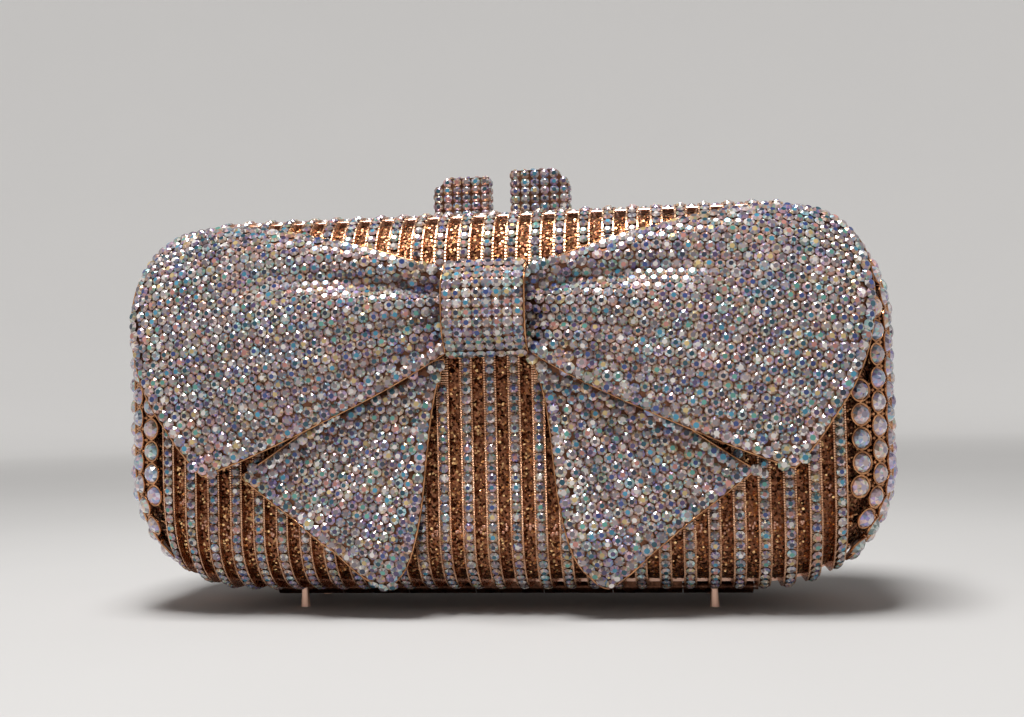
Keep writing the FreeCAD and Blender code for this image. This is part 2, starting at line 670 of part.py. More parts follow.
def folded_shell(place, height, steps):
    """A solid of the bow's wall thickness between an outer and an inner smooth face."""
    faces = []
    for drop in (0.0, size("bow_wall")):
        grid = []
        for out_step in range(steps[0]):
            out = out_step / (steps[0] - 1)
            line = []
            for over_step in range(steps[1]):
                over = over_step / (steps[1] - 1)
                spot = place(out, over)
                line.append(over_case(spot.x, spot.y, height(out, over) - drop))
            grid.append(line)
        face = Part.BSplineSurface()
        face.interpolate(grid)
        faces.append(face)
    outer, inner = faces
    shapes = [outer.toShape(), inner.toShape()]
    first_u, last_u, first_v, last_v = outer.bounds()
    inner_u, inner_last_u, inner_v, inner_last_v = inner.bounds()
    for at, inner_at in ((first_u, inner_u), (last_u, inner_last_u)):
        shapes.append(Part.makeRuledSurface(outer.uIso(at).toShape(), inner.uIso(inner_at).toShape()))
    for at, inner_at in ((first_v, inner_v), (last_v, inner_last_v)):
        shapes.append(Part.makeRuledSurface(outer.vIso(at).toShape(), inner.vIso(inner_at).toShape()))
    shell = Part.makeShell(shapes)
    shell.sewShape()
    solid = Part.Solid(shell.Shells[0] if shell.ShapeType != "Shell" else shell)
    if solid.Volume < 0:
        solid.reverse()
    return solid


def bow_piece(label, place, height, steps):
    piece = doc.addObject("Part::Feature", label)
    piece.Shape = folded_shell(place, height, steps)
    return keep(piece, label)


loop_edges = [outline_curve(shares) for shares in (
    LOOP_TOP_SHARES, LOOP_LOW_SHARES, LOOP_ROOT_SHARES, LOOP_END_SHARES)]
loop_place = patch(*loop_edges)
tail_place = patch(*[outline_curve(shares) for shares in (
    TAIL_TOP_SHARES, TAIL_LOW_SHARES, TAIL_ROOT_SHARES, TAIL_END_SHARES)])


def knot_place(out, over):
    across = (2 * out - 1) * KNOT_HALF_WIDTH_SHARE * half_width
    share = KNOT_TOP_SHARE + (KNOT_LOW_SHARE - KNOT_TOP_SHARE) * over
    return FreeCAD.Vector(across, size("foot_height") + share * size("case_height"), 0)


loop_right = bow_piece("bow_loop_right", loop_place, loop_height, LOOP_STEPS)
keep(mirrored(loop_right, "bow_loop_left", (1, 0, 0)), "bow_loop_left")
tail_right = bow_piece("bow_tail_right", tail_place, tail_height, TAIL_STEPS)
keep(mirrored(tail_right, "bow_tail_left", (1, 0, 0)), "bow_tail_left")
bow_piece("bow_knot", knot_place, knot_height, KNOT_STEPS)


def post(place, height, across, over):
    """A peg from a rib's channel into the inside of a bow shell, at one distance across the case."""
    near, far = 0.0, 1.0
    while far - near > Part.Precision.parametric(1.0):
        middle = (near + far) / 2
        if place(middle, over).x < across:
            near = middle
        else:
            far = middle
    spot = place(near, over)
    length = height(near, over) - size("bow_wall") + size("post_bite") + size("channel_depth")
    base = FreeCAD.Vector(across, size("channel_depth") - half_depth, spot.y)
    return Part.makeCylinder(size("post_radius"), length, base, FreeCAD.Vector(0, -1, 0))


posts_right = doc.addObject("Part::Feature", "posts_right")
posts_right.Shape = Part.makeCompound(
    [post(loop_place, loop_height, rib * size("rib_pitch"), LOOP_POST_SHARE) for rib in LOOP_POST_RIBS]
    + [post(tail_place, tail_height, rib * size("rib_pitch"), TAIL_POST_SHARE) for rib in TAIL_POST_RIBS])
posts_left = mirrored(posts_right, "posts_left", (1, 0, 0))
keep(add("Part::Compound", "bow_posts", Links=[posts_right, posts_left]), "bow_posts")


# Lattice ends: end pieces of the case shell with a round seat for each large crystal
def end_place(run, turn):
    """On the right end: a point of the surface, its outward direction and its place on the unrolled front.

    run goes along the outline from mid-height, and turn goes from the parting line to the front.
    """
    edge = size("edge_radius")
    corner = size("outline_radius") - edge
    flat_turn = half_depth - edge
    angle = max(0.0, turn - flat_turn) / edge
    straight = size("case_height") / 2 - size("outline_radius")
    bend = max(0.0, abs(run) - straight) / (corner + edge * math.cos(angle))
    out = FreeCAD.Vector(math.cos(bend), 0, math.copysign(math.sin(bend), run))
    level = case_middle + math.copysign(min(abs(run), straight), run)
    seat = FreeCAD.Vector(half_width - size("outline_radius"), -min(turn, flat_turn), level) + out * corner
    normal = out * math.cos(angle) - FreeCAD.Vector(0, math.sin(angle), 0)
    past = edge * math.pi / 2 + flat_turn - turn
    unrolled = FreeCAD.Vector(seat.x + out.x * past, seat.z + out.z * past, 0)
    return seat + normal * edge, normal, unrolled


def crystal_places(cover):
    """Places and outward directions of the crystals on half of the right end, clear of what covers it."""
    pitch = size("crystal_pitch")
    room = size("crystal_radius") + size("seat_margin")
    end_start = (size("rib_count") - 1) / 2 * size("rib_pitch") + size("rib_width") / 2 + size("end_gap")
    turn = size("parting_gap") / 2 + size("rim_depth") + room
    found = []
    column = 0
    while turn < half_depth + size("edge_radius"):
        stagger = 0.5 * (column % 2)
        for row in range(int(size("case_height") / pitch) + 1):
            run = (row + stagger) * pitch
            for side_run in sorted({run, -run}):
                place, normal, unrolled = end_place(side_run, turn)
                spread = room * math.sqrt(1 - normal.x * normal.x)
                covered = cover is not None and cover.distToShape(Part.Vertex(unrolled))[0] < room
                if place.x - spread > end_start and not covered:
                    found.append((place, normal))
        turn += pitch
        column += 1
    return found


def turned_to(shape, place, normal):
    shape.Placement = FreeCAD.Placement(place, FreeCAD.Rotation(FreeCAD.Vector(0, 0, 1), normal))
    return shape


def crystal_solid():
    """A round stone on its axis: sloped pavilion, straight girdle, sloped crown and flat table."""
    depth = size("rib_depth")
    profile = Part.makePolygon([
        FreeCAD.Vector(0, 0, -depth),
        FreeCAD.Vector(size("crystal_table_radius"), 0, -depth),
        FreeCAD.Vector(size("crystal_radius"), 0, -depth / 2),
        FreeCAD.Vector(size("crystal_radius"), 0, 0),
        FreeCAD.Vector(size("crystal_table_radius"), 0, size("crystal_crown")),
        FreeCAD.Vector(0, 0, size("crystal_crown")),
        FreeCAD.Vector(0, 0, -depth),
    ])
    return Part.Face(profile).revolve(FreeCAD.Vector(), FreeCAD.Vector(0, 0, 1), 360)


def seat_tool():
    depth = size("rib_depth") + size("cut_overrun")
    radius = size("crystal_radius") + size("seat_clearance")
    return Part.makeCylinder(radius, 2 * depth, FreeCAD.Vector(0, 0, -depth))


end_space = box(
    "end_space",
    END_START,
    "-dims.case_depth",
    "0",
    "dims.case_width",
    f"dims.case_depth - {RIM_FACE}",
    f"{CASE_TOP} + dims.cut_overrun",
)
end_cap = add("Part::Common", "end_cap", Base=case_shell, Tool=end_space)
loop_outline = Part.Face(Part.Wire(Part.sortEdges([curve.toShape() for curve in loop_edges])[0]))
for half, cover in (("front", loop_outline), ("back", None)):
    places = crystal_places(cover)
    seats = doc.addObject("Part::Feature", half + "_seats")
    seats.Shape = Part.makeCompound([turned_to(seat_tool(), *place) for place in places])
    lattice = add("Part::Cut", half + "_lattice_cut", Base=end_cap, Tool=seats)
    crystals = doc.addObject("Part::Feature", half + "_crystals_set")
    crystals.Shape = Part.makeCompound([turned_to(crystal_solid(), *place) for place in places])
    for name, piece in (("lattice", lattice), ("crystals", crystals)):
        right = piece if half == "front" else mirrored(piece, f"back_{name}_turned", (0, 1, 0))
        keep(right, f"{half}_{name}_right")
        keep(mirrored(right, f"{half}_{name}_other", (1, 0, 0)), f"{half}_{name}_left")

doc.recompute()

# Check every object, then write the sub-parts.
for item in doc.Objects:
    if "Invalid" in item.State or "Error" in item.State:
        raise RuntimeError(f"{item.Name} failed: {item.State}")
os.makedirs("parts", exist_ok=True)
for node in nodes:
    if node.Shape.isNull() or not node.Shape.isValid():
        raise RuntimeError(f"{node.Label} has no valid shape")
for node in nodes:
    node.Shape.exportStep(f"parts/{node.Label}.step")
    print(f"{node.Label}: {len(node.Shape.Solids)} solids, {node.Shape.Volume:.1f} mm3")
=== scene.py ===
"""Looks of a crystal box clutch: finishes of its metal, lining and crystals, and the stones set in it.

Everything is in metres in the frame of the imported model: +X to the right, +Y to the back, +Z up.
"""
import json
import math
import random

import bmesh
import bpy
import numpy
from mathutils import Matrix, Vector
from mathutils.bvhtree import BVHTree
from mathutils.kdtree import KDTree


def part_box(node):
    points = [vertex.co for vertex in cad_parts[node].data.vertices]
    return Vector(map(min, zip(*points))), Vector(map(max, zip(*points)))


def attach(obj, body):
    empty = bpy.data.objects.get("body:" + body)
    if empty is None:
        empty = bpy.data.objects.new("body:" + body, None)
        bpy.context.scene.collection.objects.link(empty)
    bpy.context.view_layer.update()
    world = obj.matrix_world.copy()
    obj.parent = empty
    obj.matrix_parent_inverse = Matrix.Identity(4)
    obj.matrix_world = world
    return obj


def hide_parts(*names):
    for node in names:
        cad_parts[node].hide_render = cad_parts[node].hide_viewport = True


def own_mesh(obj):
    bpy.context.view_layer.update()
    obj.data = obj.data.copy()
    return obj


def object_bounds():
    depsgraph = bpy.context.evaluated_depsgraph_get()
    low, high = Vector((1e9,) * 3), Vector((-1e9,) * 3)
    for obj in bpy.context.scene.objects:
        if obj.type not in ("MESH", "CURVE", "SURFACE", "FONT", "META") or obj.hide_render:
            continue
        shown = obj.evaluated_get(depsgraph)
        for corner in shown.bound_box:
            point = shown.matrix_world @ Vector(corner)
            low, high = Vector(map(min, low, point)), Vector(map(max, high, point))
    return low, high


bl_info = {
    "name": "Crystal box clutch",
    "version": (1, 0, 0),
    "blender": (4, 5, 0),
    "location": "View3D > Sidebar > Clutch",
    "description": "Dresses a box clutch with set stones, a stone-set bow, crystal ends and a studio",
    "category": "Object",
}

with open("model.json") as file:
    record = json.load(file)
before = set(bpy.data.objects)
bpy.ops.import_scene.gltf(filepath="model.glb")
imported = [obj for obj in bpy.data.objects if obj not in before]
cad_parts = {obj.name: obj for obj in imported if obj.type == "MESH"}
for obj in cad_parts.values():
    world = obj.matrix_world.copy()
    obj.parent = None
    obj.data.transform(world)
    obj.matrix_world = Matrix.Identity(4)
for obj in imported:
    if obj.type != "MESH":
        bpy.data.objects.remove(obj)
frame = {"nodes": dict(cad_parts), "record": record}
cad_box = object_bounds()

# First seed of the random draws of each group of pieces.
SEEDS = {"ribs": 20, "bow": 30, "clasp": 50, "rims": 60, "ends": 70, "ridge": 80, "glitter": 90}
# Distance within which the corners of a solid's triangles are joined.
WELD = 1e-6
# How far off the rays that look for a surface start.
FAR = 1.0
# How far off the rim's face the rays round ribs and gaps meet, so that they miss that face.
RIM_ROOM = 0.0003
RIGHT = Vector((1, 0, 0))
UP = Vector((0, 0, 1))
FRONT = Vector((0, -1, 0))
HALVES = (("front", "front_half", -1), ("back", "back_half", 1))
BOW_PIECES = ("bow_loop_left", "bow_loop_right", "bow_tail_left", "bow_tail_right", "bow_knot")

# Colours of the stones' facets with how often each is drawn: the flat top, and the slopes round it.
TABLE_TINTS = (
    (12, (0.035, 0.045, 0.075)),
    (11, (0.025, 0.10, 0.14)),
    (9, (0.05, 0.08, 0.25)),
    (8, (0.10, 0.07, 0.16)),
    (16, (0.21, 0.18, 0.20)),
    (15, (0.38, 0.32, 0.33)),
    (8, (0.07, 0.30, 0.44)),
    (6, (0.13, 0.37, 0.31)),
    (6, (0.60, 0.26, 0.22)),
    (6, (0.64, 0.47, 0.21)),
    (8, (0.83, 0.77, 0.73)),
)
# Among the slopes, the near-white, pale cyan and pale pink tints are painted glints; the rest are the stones'
# own colours.
SLOPE_TINTS_AND_GLINTS = (
    (17, (0.39, 0.31, 0.29)),
    (13, (0.24, 0.17, 0.18)),
    (13, (0.53, 0.30, 0.27)),
    (9, (0.28, 0.21, 0.48)),
    (8, (0.19, 0.33, 0.48)),
    (7, (0.23, 0.41, 0.31)),
    (8, (0.60, 0.45, 0.21)),
    (8, (0.58, 0.29, 0.17)),
    (8, (0.08, 0.06, 0.08)),
    (14, (0.95, 0.85, 0.78)),
    (4, (0.46, 0.80, 0.84)),
    (4, (0.93, 0.58, 0.64)),
)
# Colour of a stone's side and base.
UNDER_TINT = (0.10, 0.05, 0.035)
# Facet colours of the large crystals at the ends: their slopes, and their flat tops.
CRYSTAL_TINTS = (
    (14, (0.60, 0.52, 0.56)),
    (10, (0.84, 0.76, 0.77)),
    (12, (0.38, 0.31, 0.38)),
    (10, (0.80, 0.48, 0.48)),
    (9, (0.42, 0.35, 0.72)),
    (8, (0.28, 0.46, 0.62)),
    (7, (0.42, 0.66, 0.55)),
    (8, (0.88, 0.60, 0.38)),
    (10, (0.10, 0.08, 0.12)),
    (8, (0.97, 0.95, 0.95)),
)
CRYSTAL_TABLE_TINTS = (
    (14, (0.62, 0.54, 0.57)),
    (12, (0.80, 0.72, 0.72)),
    (10, (0.46, 0.40, 0.50)),
    (8, (0.70, 0.54, 0.54)),
    (8, (0.44, 0.54, 0.62)),
)
# How much lighter a stone's lower slopes are painted than its upper ones: painted light at its foot and
# painted shade on its top, as from a lamp above.
PAINTED_FOOT_GLOW_SHARE = 0.32
# How much of a slope's tint is its own; the rest is shared by all slopes of the stone.
OWN_TINT_SHARE = 0.65
# By how much tints and sizes vary from stone to stone.
TINT_SPREAD = (0.75, 1.2)
SIZE_SPREAD = (0.95, 1.03)
# Upward lean of the faces that count as a stone's table, and as a slope.
TABLE_LEAN = 0.99
SLOPE_LEAN = 0.1
# Radius and height of a stone's table and of each edge below it, for a stone of unit radius.
STONE_RINGS = ((0.48, 0.40), (1.0, 0.0))
CRYSTAL_RINGS = ((0.34, 0.60), (0.72, 0.42), (1.0, 0.0))
CRYSTAL_SIDES = 10


def length(label, text, default):
    return bpy.props.FloatProperty(
        name=label, description=text, default=default, min=0.0, precision=5, unit="LENGTH")


def colour(label, text, default):
    return bpy.props.FloatVectorProperty(
        name=label, description=text, default=default, min=0.0, max=1.0, size=4, subtype="COLOR")


def angle(label, text, degrees):
    return bpy.props.FloatProperty(
        name=label, description=text, default=math.radians(degrees), subtype="ANGLE")


class ClutchSizes(bpy.types.PropertyGroup):
    """Sizes of the set stones and of the fine metalwork."""

    rib_stone: length("Rib stone", "Diameter of the stones in the ribs", 0.0021)
    rib_pitch: length("Rib stone pitch", "Distance between stones along a rib", 0.0021)
    bow_stone: length("Bow stone", "Diameter of the stones on the bow", 0.0023)
    bow_pitch: length("Bow stone pitch", "Distance between stones on the bow", 0.00222)
    fill_stone: length("Fill stone", "Diameter of the stones in what the bow's rows leave open", 0.00125)
    seed_stone: length("Seed stone", "Diameter of the stones in the smallest gaps of the bow", 0.0008)
    clasp_stone: length("Clasp stone", "Diameter of the stones on the clasp blocks", 0.00214)
    clasp_pitch: length("Clasp stone pitch", "Distance between stones on the clasp blocks", 0.0021)
    rim_stone: length("Rim stone", "Diameter of the stones on the rims", 0.0021)
    rim_pitch: length("Rim stone pitch", "Distance between stones along a rim", 0.00225)
    stone_sink: length("Stone sink", "How deep a stone sits in the metal under it", 0.0001)
    piping: length("Piping radius", "Radius of the wire along the bow's edges", 0.00022)
    bead_pitch: length("Bead pitch", "Distance between the beads on a rib's edges", 0.00052)
    bezel_wire: length("Bezel wire", "Radius of the wire round a large crystal", 0.00024)
    link_wire: length("Link wire", "Radius of the bars between large crystals", 0.00026)
    granule: length("Granule", "Radius of the gold grains between the ribs", 0.00045)
    flake: length("Flake", "Radius of the largest flakes of glitter", 0.00032)
    coil_wire: length("Coil wire", "Radius of the latch spring's wire", 0.00017)


class ClutchColours(bpy.types.PropertyGroup):
    """Colours of the metal and linings."""

    gold: colour("Rose gold", "Lit colour of the plated metal", (0.83, 0.48, 0.30, 1.0))
    gold_dark: colour("Worn gold", "Colour of the metal in its darker patches", (0.46, 0.22, 0.12, 1.0))
    # The stone bed is a dark copy of the metal, as painted shade between the bow's stones; the same finish is
    # painted shadow on the hinge knuckles.
    shaded_bed: colour("Stone bed", "Colour of the metal between the bow's stones", (0.17, 0.075, 0.045, 1.0))
    shaded_bed_dark: colour("Deep stone bed", "That metal in its darker patches", (0.06, 0.025, 0.015, 1.0))
    # The lace colours are a darker copy of the rose gold, as painted shade on the openwork round the crystals
    # and on the bow's piping.
    lace: colour("Lace", "Lit colour of the openwork round the large crystals", (0.62, 0.31, 0.15, 1.0))
    lace_dark: colour("Dark lace", "Colour of the openwork in its darker patches", (0.30, 0.13, 0.06, 1.0))
    # In the glitter, the darkest flakes are painted shade, the brightest are painted glints, and the copper
    # tone is kept dark partly as painted shade in the gaps between the ribs.
    flake: colour("Bright flake", "Colour of the brightest glitter", (1.0, 0.64, 0.30, 1.0))
    flake_mid: colour("Copper flake", "Colour of most of the glitter", (0.27, 0.108, 0.056, 1.0))
    painted_shade_flake: colour("Dark flake", "Colour of the glitter that faces away", (0.03, 0.012, 0.008, 1.0))
    suede: colour("Suede", "Colour of the soft lining", (0.36, 0.20, 0.15, 1.0))
    steel: colour("Fittings", "Colour of the lock's plain metal", (0.62, 0.56, 0.52, 1.0))
    floor: colour("Floor", "Colour of the studio floor and backdrop", (0.53, 0.52, 0.51, 1.0))


class ClutchStage(bpy.types.PropertyGroup):
    """Camera and light of the studio."""

    camera_place: bpy.props.FloatVectorProperty(
        name="Camera place", description="Where the camera stands", default=(0.03853, -0.26995, 0.04684),
        size=3, precision=5, subtype="XYZ", unit="LENGTH")
    camera_turn: angle("Camera turn", "How far the camera is turned to the left", 7.665)
    camera_tilt: angle("Camera tilt", "How far the camera looks up", 1.986)
    camera_roll: angle("Camera roll", "How far the camera leans", -1.328)
    lens: bpy.props.FloatProperty(
        name="Lens", description="Focal length on a 36 mm wide sensor, in millimetres", default=41.31)
    key_power: bpy.props.FloatProperty(
        name="Key power", description="Power of the lamp above, in watts", default=8.6)
    fill_power: bpy.props.FloatProperty(
        name="Fill power", description="Power of each side lamp, in watts", default=0.36)
    sky: bpy.props.FloatProperty(
        name="Sky", description="Strength of the light from above all round", default=0.2)
    glow: bpy.props.FloatProperty(
        name="Backdrop glow", description="How bright the backdrop itself is seen", default=0.80)


# Materials

def new_material(name):
    material = bpy.data.materials.new(name)
    material.use_nodes = True
    tree = material.node_tree
    return material, tree, tree.nodes["Principled BSDF"]


def add_node(tree, kind, sockets=None, **settings):
    node = tree.nodes.new(kind)
    for key, value in settings.items():
        setattr(node, key, value)
    for key, value in (sockets or {}).items():
        node.inputs[key].default_value = value
    return node


def join(tree, source, output, target, socket):
    tree.links.new(source.outputs[output], target.inputs[socket])
    return target


def ramp(tree, stops):
    node = add_node(tree, "ShaderNodeValToRGB")
    elements = node.color_ramp.elements
    while len(elements) < len(stops):
        elements.new(0.5)
    for element, (place, shade) in zip(elements, stops):
        element.position = place
        element.color = shade
    return node


def noise(tree, scale, detail):
    """Noise in the piece's own frame."""
    place = add_node(tree, "ShaderNodeTexCoord")
    texture = add_node(tree, "ShaderNodeTexNoise", {"Scale": scale, "Detail": detail})
    return join(tree, place, "Object", texture, "Vector")


def mottle(tree, shader, socket, scale, detail, stops):
    """Let a socket of the shader wander between the colours of a ramp."""
    tone = join(tree, noise(tree, scale, detail), "Fac", ramp(tree, stops), "Fac")
    join(tree, tone, "Color", shader, socket)


def roughen(tree, shader, scale, detail, strength, distance):
    """Raise a fine grain on the shader's surface."""
    bump = add_node(tree, "ShaderNodeBump", {"Strength": strength, "Distance": distance})
    join(tree, noise(tree, scale, detail), "Fac", bump, "Height")
    join(tree, bump, "Normal", shader, "Normal")
    return bump


def combine(tree, operation, *sources, kind="ShaderNodeMath", sockets=None):
    """A maths node fed in order by outputs of other nodes, with its other sockets set."""
    node = add_node(tree, kind, sockets, operation=operation)
    for number, (source, output) in enumerate(sources):
        join(tree, source, output, node, number)
    return node


def shaded(tone, share):
    """A darker or lighter shade of a colour."""
    return (*(min(channel * share, 1.0) for channel in tone[:3]), 1.0)


def grey(value):
    return (value, value, value, 1.0)


def metal_finish(name, light, dark, rough, beads=0.0):
    """Plated metal with patchy tone and fine wear; beads is the pitch of a beaded edge along a rib."""
    material, tree, shader = new_material(name)
    shader.inputs["Metallic"].default_value = 1.0
    wear = [(0.3, grey(rough * 0.7)), (0.75, grey(rough * 1.6))]
    mottle(tree, shader, "Base Color", scale=420.0, detail=5.0, stops=[(0.36, dark), (0.58, light)])
    mottle(tree, shader, "Roughness", scale=1900.0, detail=4.0, stops=wear)
    bump = roughen(tree, shader, scale=5200.0, detail=2.0, strength=0.12, distance=0.0001)
    if beads:
        place = add_node(tree, "ShaderNodeTexCoord")
        axes = join(tree, place, "Object", add_node(tree, "ShaderNodeSeparateXYZ"), "Vector")
        run = combine(tree, "SUBTRACT", (axes, "Z"), (axes, "Y"))
        turns = combine(tree, "MULTIPLY", (run, "Value"), sockets={1: math.tau / beads})
        wave = combine(tree, "SINE", (turns, "Value"))
        ridge = add_node(tree, "ShaderNodeBump", {"Strength": 0.6, "Distance": 0.00012})
        join(tree, wave, "Value", ridge, "Height")
        join(tree, ridge, "Normal", bump, "Normal")
    return material


def glitter_finish(name, colours):
    """Coarse glitter: flat flakes that each lie at their own slant and catch the light one by one."""
    material, tree, shader = new_material(name)
    place = add_node(tree, "ShaderNodeTexCoord")
    cells = add_node(tree, "ShaderNodeTexVoronoi", {"Scale": 2300.0})
    join(tree, place, "Object", cells, "Vector")
    split = join(tree, cells, "Color", add_node(tree, "ShaderNodeSeparateColor"), "Color")
    # Each flake's tone is drawn at random: the dark end is painted shade and the bright end painted glints.
    shades = [(0.0, colours.painted_shade_flake), (0.55, colours.flake_mid),
              (0.85, colours.flake_mid), (0.97, colours.flake)]
    tone = join(tree, split, "Red", ramp(tree, shades), "Fac")
    join(tree, tone, "Color", shader, "Base Color")
    shader.inputs["Metallic"].default_value = 1.0
    gloss = join(tree, split, "Green", ramp(tree, [(0.0, grey(0.18)), (1.0, grey(0.5))]), "Fac")
    join(tree, gloss, "Color", shader, "Roughness")
    vector = "ShaderNodeVectorMath"
    slant = combine(tree, "SUBTRACT", (cells, "Color"), kind=vector, sockets={1: (0.5, 0.5, 0.5)})
    lean = combine(tree, "SCALE", (slant, "Vector"), kind=vector, sockets={"Scale": 1.1})
    surface = add_node(tree, "ShaderNodeNewGeometry")
    turned = combine(tree, "ADD", (surface, "Normal"), (lean, "Vector"), kind=vector)
    leaning = combine(tree, "NORMALIZE", (turned, "Vector"), kind=vector)
    join(tree, leaning, "Vector", shader, "Normal")
    return material


def suede_finish(name, tone):
    """Napped cloth with cloudy tone and a soft sheen."""
    material, tree, shader = new_material(name)
    clouds = [(0.3, shaded(tone, 0.6)), (0.7, tone)]
    mottle(tree, shader, "Base Color", scale=130.0, detail=6.0, stops=clouds)
    shader.inputs["Roughness"].default_value = 0.92
    shader.inputs["Sheen Weight"].default_value = 0.5
    shader.inputs["Sheen Roughness"].default_value = 0.4
    roughen(tree, shader, scale=4200.0, detail=4.0, strength=0.4, distance=0.0002)
    return material


def stone_finish(name, rough, metal):
    """Foil-backed cut stone: every facet has its own tint, kept in the mesh."""
    material, tree, shader = new_material(name)
    tint = add_node(tree, "ShaderNodeAttribute", attribute_name="facet_tint")
    join(tree, tint, "Color", shader, "Base Color")
    shader.inputs["Metallic"].default_value = metal
    shader.inputs["Coat Weight"].default_value = 0.5
    shader.inputs["Coat Roughness"].default_value = 0.04
    haze = [(0.3, grey(rough * 0.6)), (0.8, grey(rough * 1.7))]
    mottle(tree, shader, "Roughness", scale=700.0, detail=3.0, stops=haze)
    return material


def studio_finish(name, tone, glow):
    """Pale paper that keeps the shadows near the middle and glows further out, seen or mirrored."""
    material, tree, shader = new_material(name)
    paper = [(0.3, tone), (0.7, shaded(tone, 1.04))]
    mottle(tree, shader, "Base Color", scale=6.0, detail=3.0, stops=paper)
    shader.inputs["Roughness"].default_value = 0.8
    place = add_node(tree, "ShaderNodeTexCoord")
    away = combine(tree, "LENGTH", (place, "Object"), kind="ShaderNodeVectorMath")
    reach = {"From Min": 0.25, "From Max": 1.4, "To Max": glow}
    fade = add_node(tree, "ShaderNodeMapRange", reach, interpolation_type="SMOOTHSTEP")
    join(tree, away, "Value", fade, "Value")
    ray = add_node(tree, "ShaderNodeLightPath")
    mirrored = combine(tree, "MAXIMUM", (ray, "Is Glossy Ray"), (ray, "Is Transmission Ray"))
    seen = combine(tree, "MAXIMUM", (ray, "Is Camera Ray"), (mirrored, "Value"))
    power = combine(tree, "MULTIPLY", (seen, "Value"), (fade, "Result"))
    join(tree, power, "Value", shader, "Emission Strength")
    shader.inputs["Emission Color"].default_value = tone
    material.cycles.emission_sampling = "NONE"
    return material


# Reading the solids

def welded(node):
    """A copy of a solid's mesh with its loose triangles joined."""
    mesh = bmesh.new()
    mesh.from_mesh(frame["nodes"][node].data)
    bmesh.ops.remove_doubles(mesh, verts=mesh.verts, dist=WELD)
    for items in (mesh.verts, mesh.edges, mesh.faces):
        items.index_update()
    return mesh


def patches_of(mesh, crease):
    """Lists of faces that join each other across edges no sharper than the crease angle."""
    seen = set()
    found = []
    for first in mesh.faces:
        if first.index in seen:
            continue
        seen.add(first.index)
        patch = [first]
        for face in patch:
            for edge in face.edges:
                if len(edge.link_faces) != 2 or edge.calc_face_angle(math.pi) > crease:
                    continue
                for other in edge.link_faces:
                    if other.index not in seen:
                        seen.add(other.index)
                        patch.append(other)
        found.append(patch)
    return found


def tree_of(faces):
    """A search tree over some faces of one mesh."""
    order = {}
    points = []
    corners = []
    for face in faces:
        for vert in face.verts:
            if vert.index not in order:
                order[vert.index] = len(points)
                points.append(vert.co.copy())
        corners.append([order[vert.index] for vert in face.verts])
    return BVHTree.FromPolygons(points, corners)


def node_tree(*names):
    """A search tree over whole solids."""
    points = []
    corners = []
    for name in names:
        mesh = frame["nodes"][name].data
        start = len(points)
        points += [vert.co.copy() for vert in mesh.vertices]
        corners += [[start + index for index in face.vertices] for face in mesh.polygons]
    return BVHTree.FromPolygons(points, corners)


def rim_of(faces):
    """The corners of a patch's longest edge, in order."""
    inside = {face.index for face in faces}
    border = {}
    for face in faces:
        for edge in face.edges:
            if sum(other.index in inside for other in edge.link_faces) == 1:
                border[edge.index] = edge
    loops = []
    while border:
        _, edge = border.popitem()
        start, here = edge.verts
        path = [start]
        while here is not start:
            path.append(here)
            ahead = [other for other in here.link_edges if other.index in border]
            if not ahead:
                break
            edge = border.pop(ahead[0].index)
            here = edge.other_vert(here)
        loops.append([vert.co.copy() for vert in path])
    return max(loops, key=len)


def corners_of(points):
    """The lowest and highest corners of the box round some points."""
    return Vector(map(min, zip(*points))), Vector(map(max, zip(*points)))


def front_area(faces):
    """How large some faces look from the front."""
    return sum(face.calc_area() * face.normal.dot(FRONT) for face in faces)


class Skin:
    """The outward face of one bow piece, with its edge."""

    CREASE = math.radians(15)
    # A place counts as seen where the skin leans at least this much towards the look.
    LEAST_LEAN = 0.3

    def __init__(self, node):
        mesh = welded(node)
        faces = max(patches_of(mesh, self.CREASE), key=front_area)
        self.tree = tree_of(faces)
        self.edge = rim_of(faces)
        low, high = corners_of([vert.co for face in faces for vert in face.verts])
        self.middle = (low + high) / 2
        self.reach = (high - self.middle).length
        mesh.free()

    def hit(self, place, look=-FRONT):
        """The skin's place and outward direction seen through a place, or None."""
        spot, normal, _, _ = self.tree.ray_cast(place - look * FAR, look)
        return None if spot is None else (spot, normal)

    def drop(self, place):
        """The skin's nearest place and its outward direction there."""
        spot, normal, _, _ = self.tree.find_nearest(place)
        return spot, normal

    def sample(self, step):
        """Many places on the skin, looked for from the front, from above and from both ends."""
        count = int(self.reach / step)
        found = []
        for look in (-FRONT, -UP, RIGHT, -RIGHT):
            side = look.orthogonal().normalized()
            other = look.cross(side)
            for column in range(-count, count + 1):
                for row in range(-count, count + 1):
                    seen = self.hit(self.middle + (side * column + other * row) * step, look)
                    if seen and seen[1].dot(look) < -self.LEAST_LEAN:
                        found.append(seen[0])
        return found


# Spacing things along paths and over skins

# How many times a line over a skin is looked at within one pitch.
LOOKS_PER_PITCH = 8
# How many times a skin is sampled within one pitch.
SAMPLES_PER_PITCH = 4
# How much of an overlap one round of easing takes away.
EASE_SHARE = 0.3
# How close the bow's stones come while they are laid out, as shares of their pitch.
EDGE_APART = 0.8
ROWS_APART = 0.6
EASED_APART = 0.84
ADDED_APART = 0.78
LAST_APART = 0.86
# Within what share of their pitch they push each other off, and how often they are eased and added to.
EASE_REACH = 1.06
LAST_REACH = 1.02
LAYOUT_ROUNDS = 5
# How close the knot's stones stand up and down, as a share of their pitch across.
KNOT_ROW_SHARE = 0.94
# How far the looks from a stone's top lean to each side, and how far they reach.
SIDE_LEAN = 0.9
LOOK_REACH = 0.05
# How many neighbours a stone grows towards, and how much smaller or larger it may get.
NEIGHBOURS = 5
GROWTH_LIMITS = (0.97, 1.16)


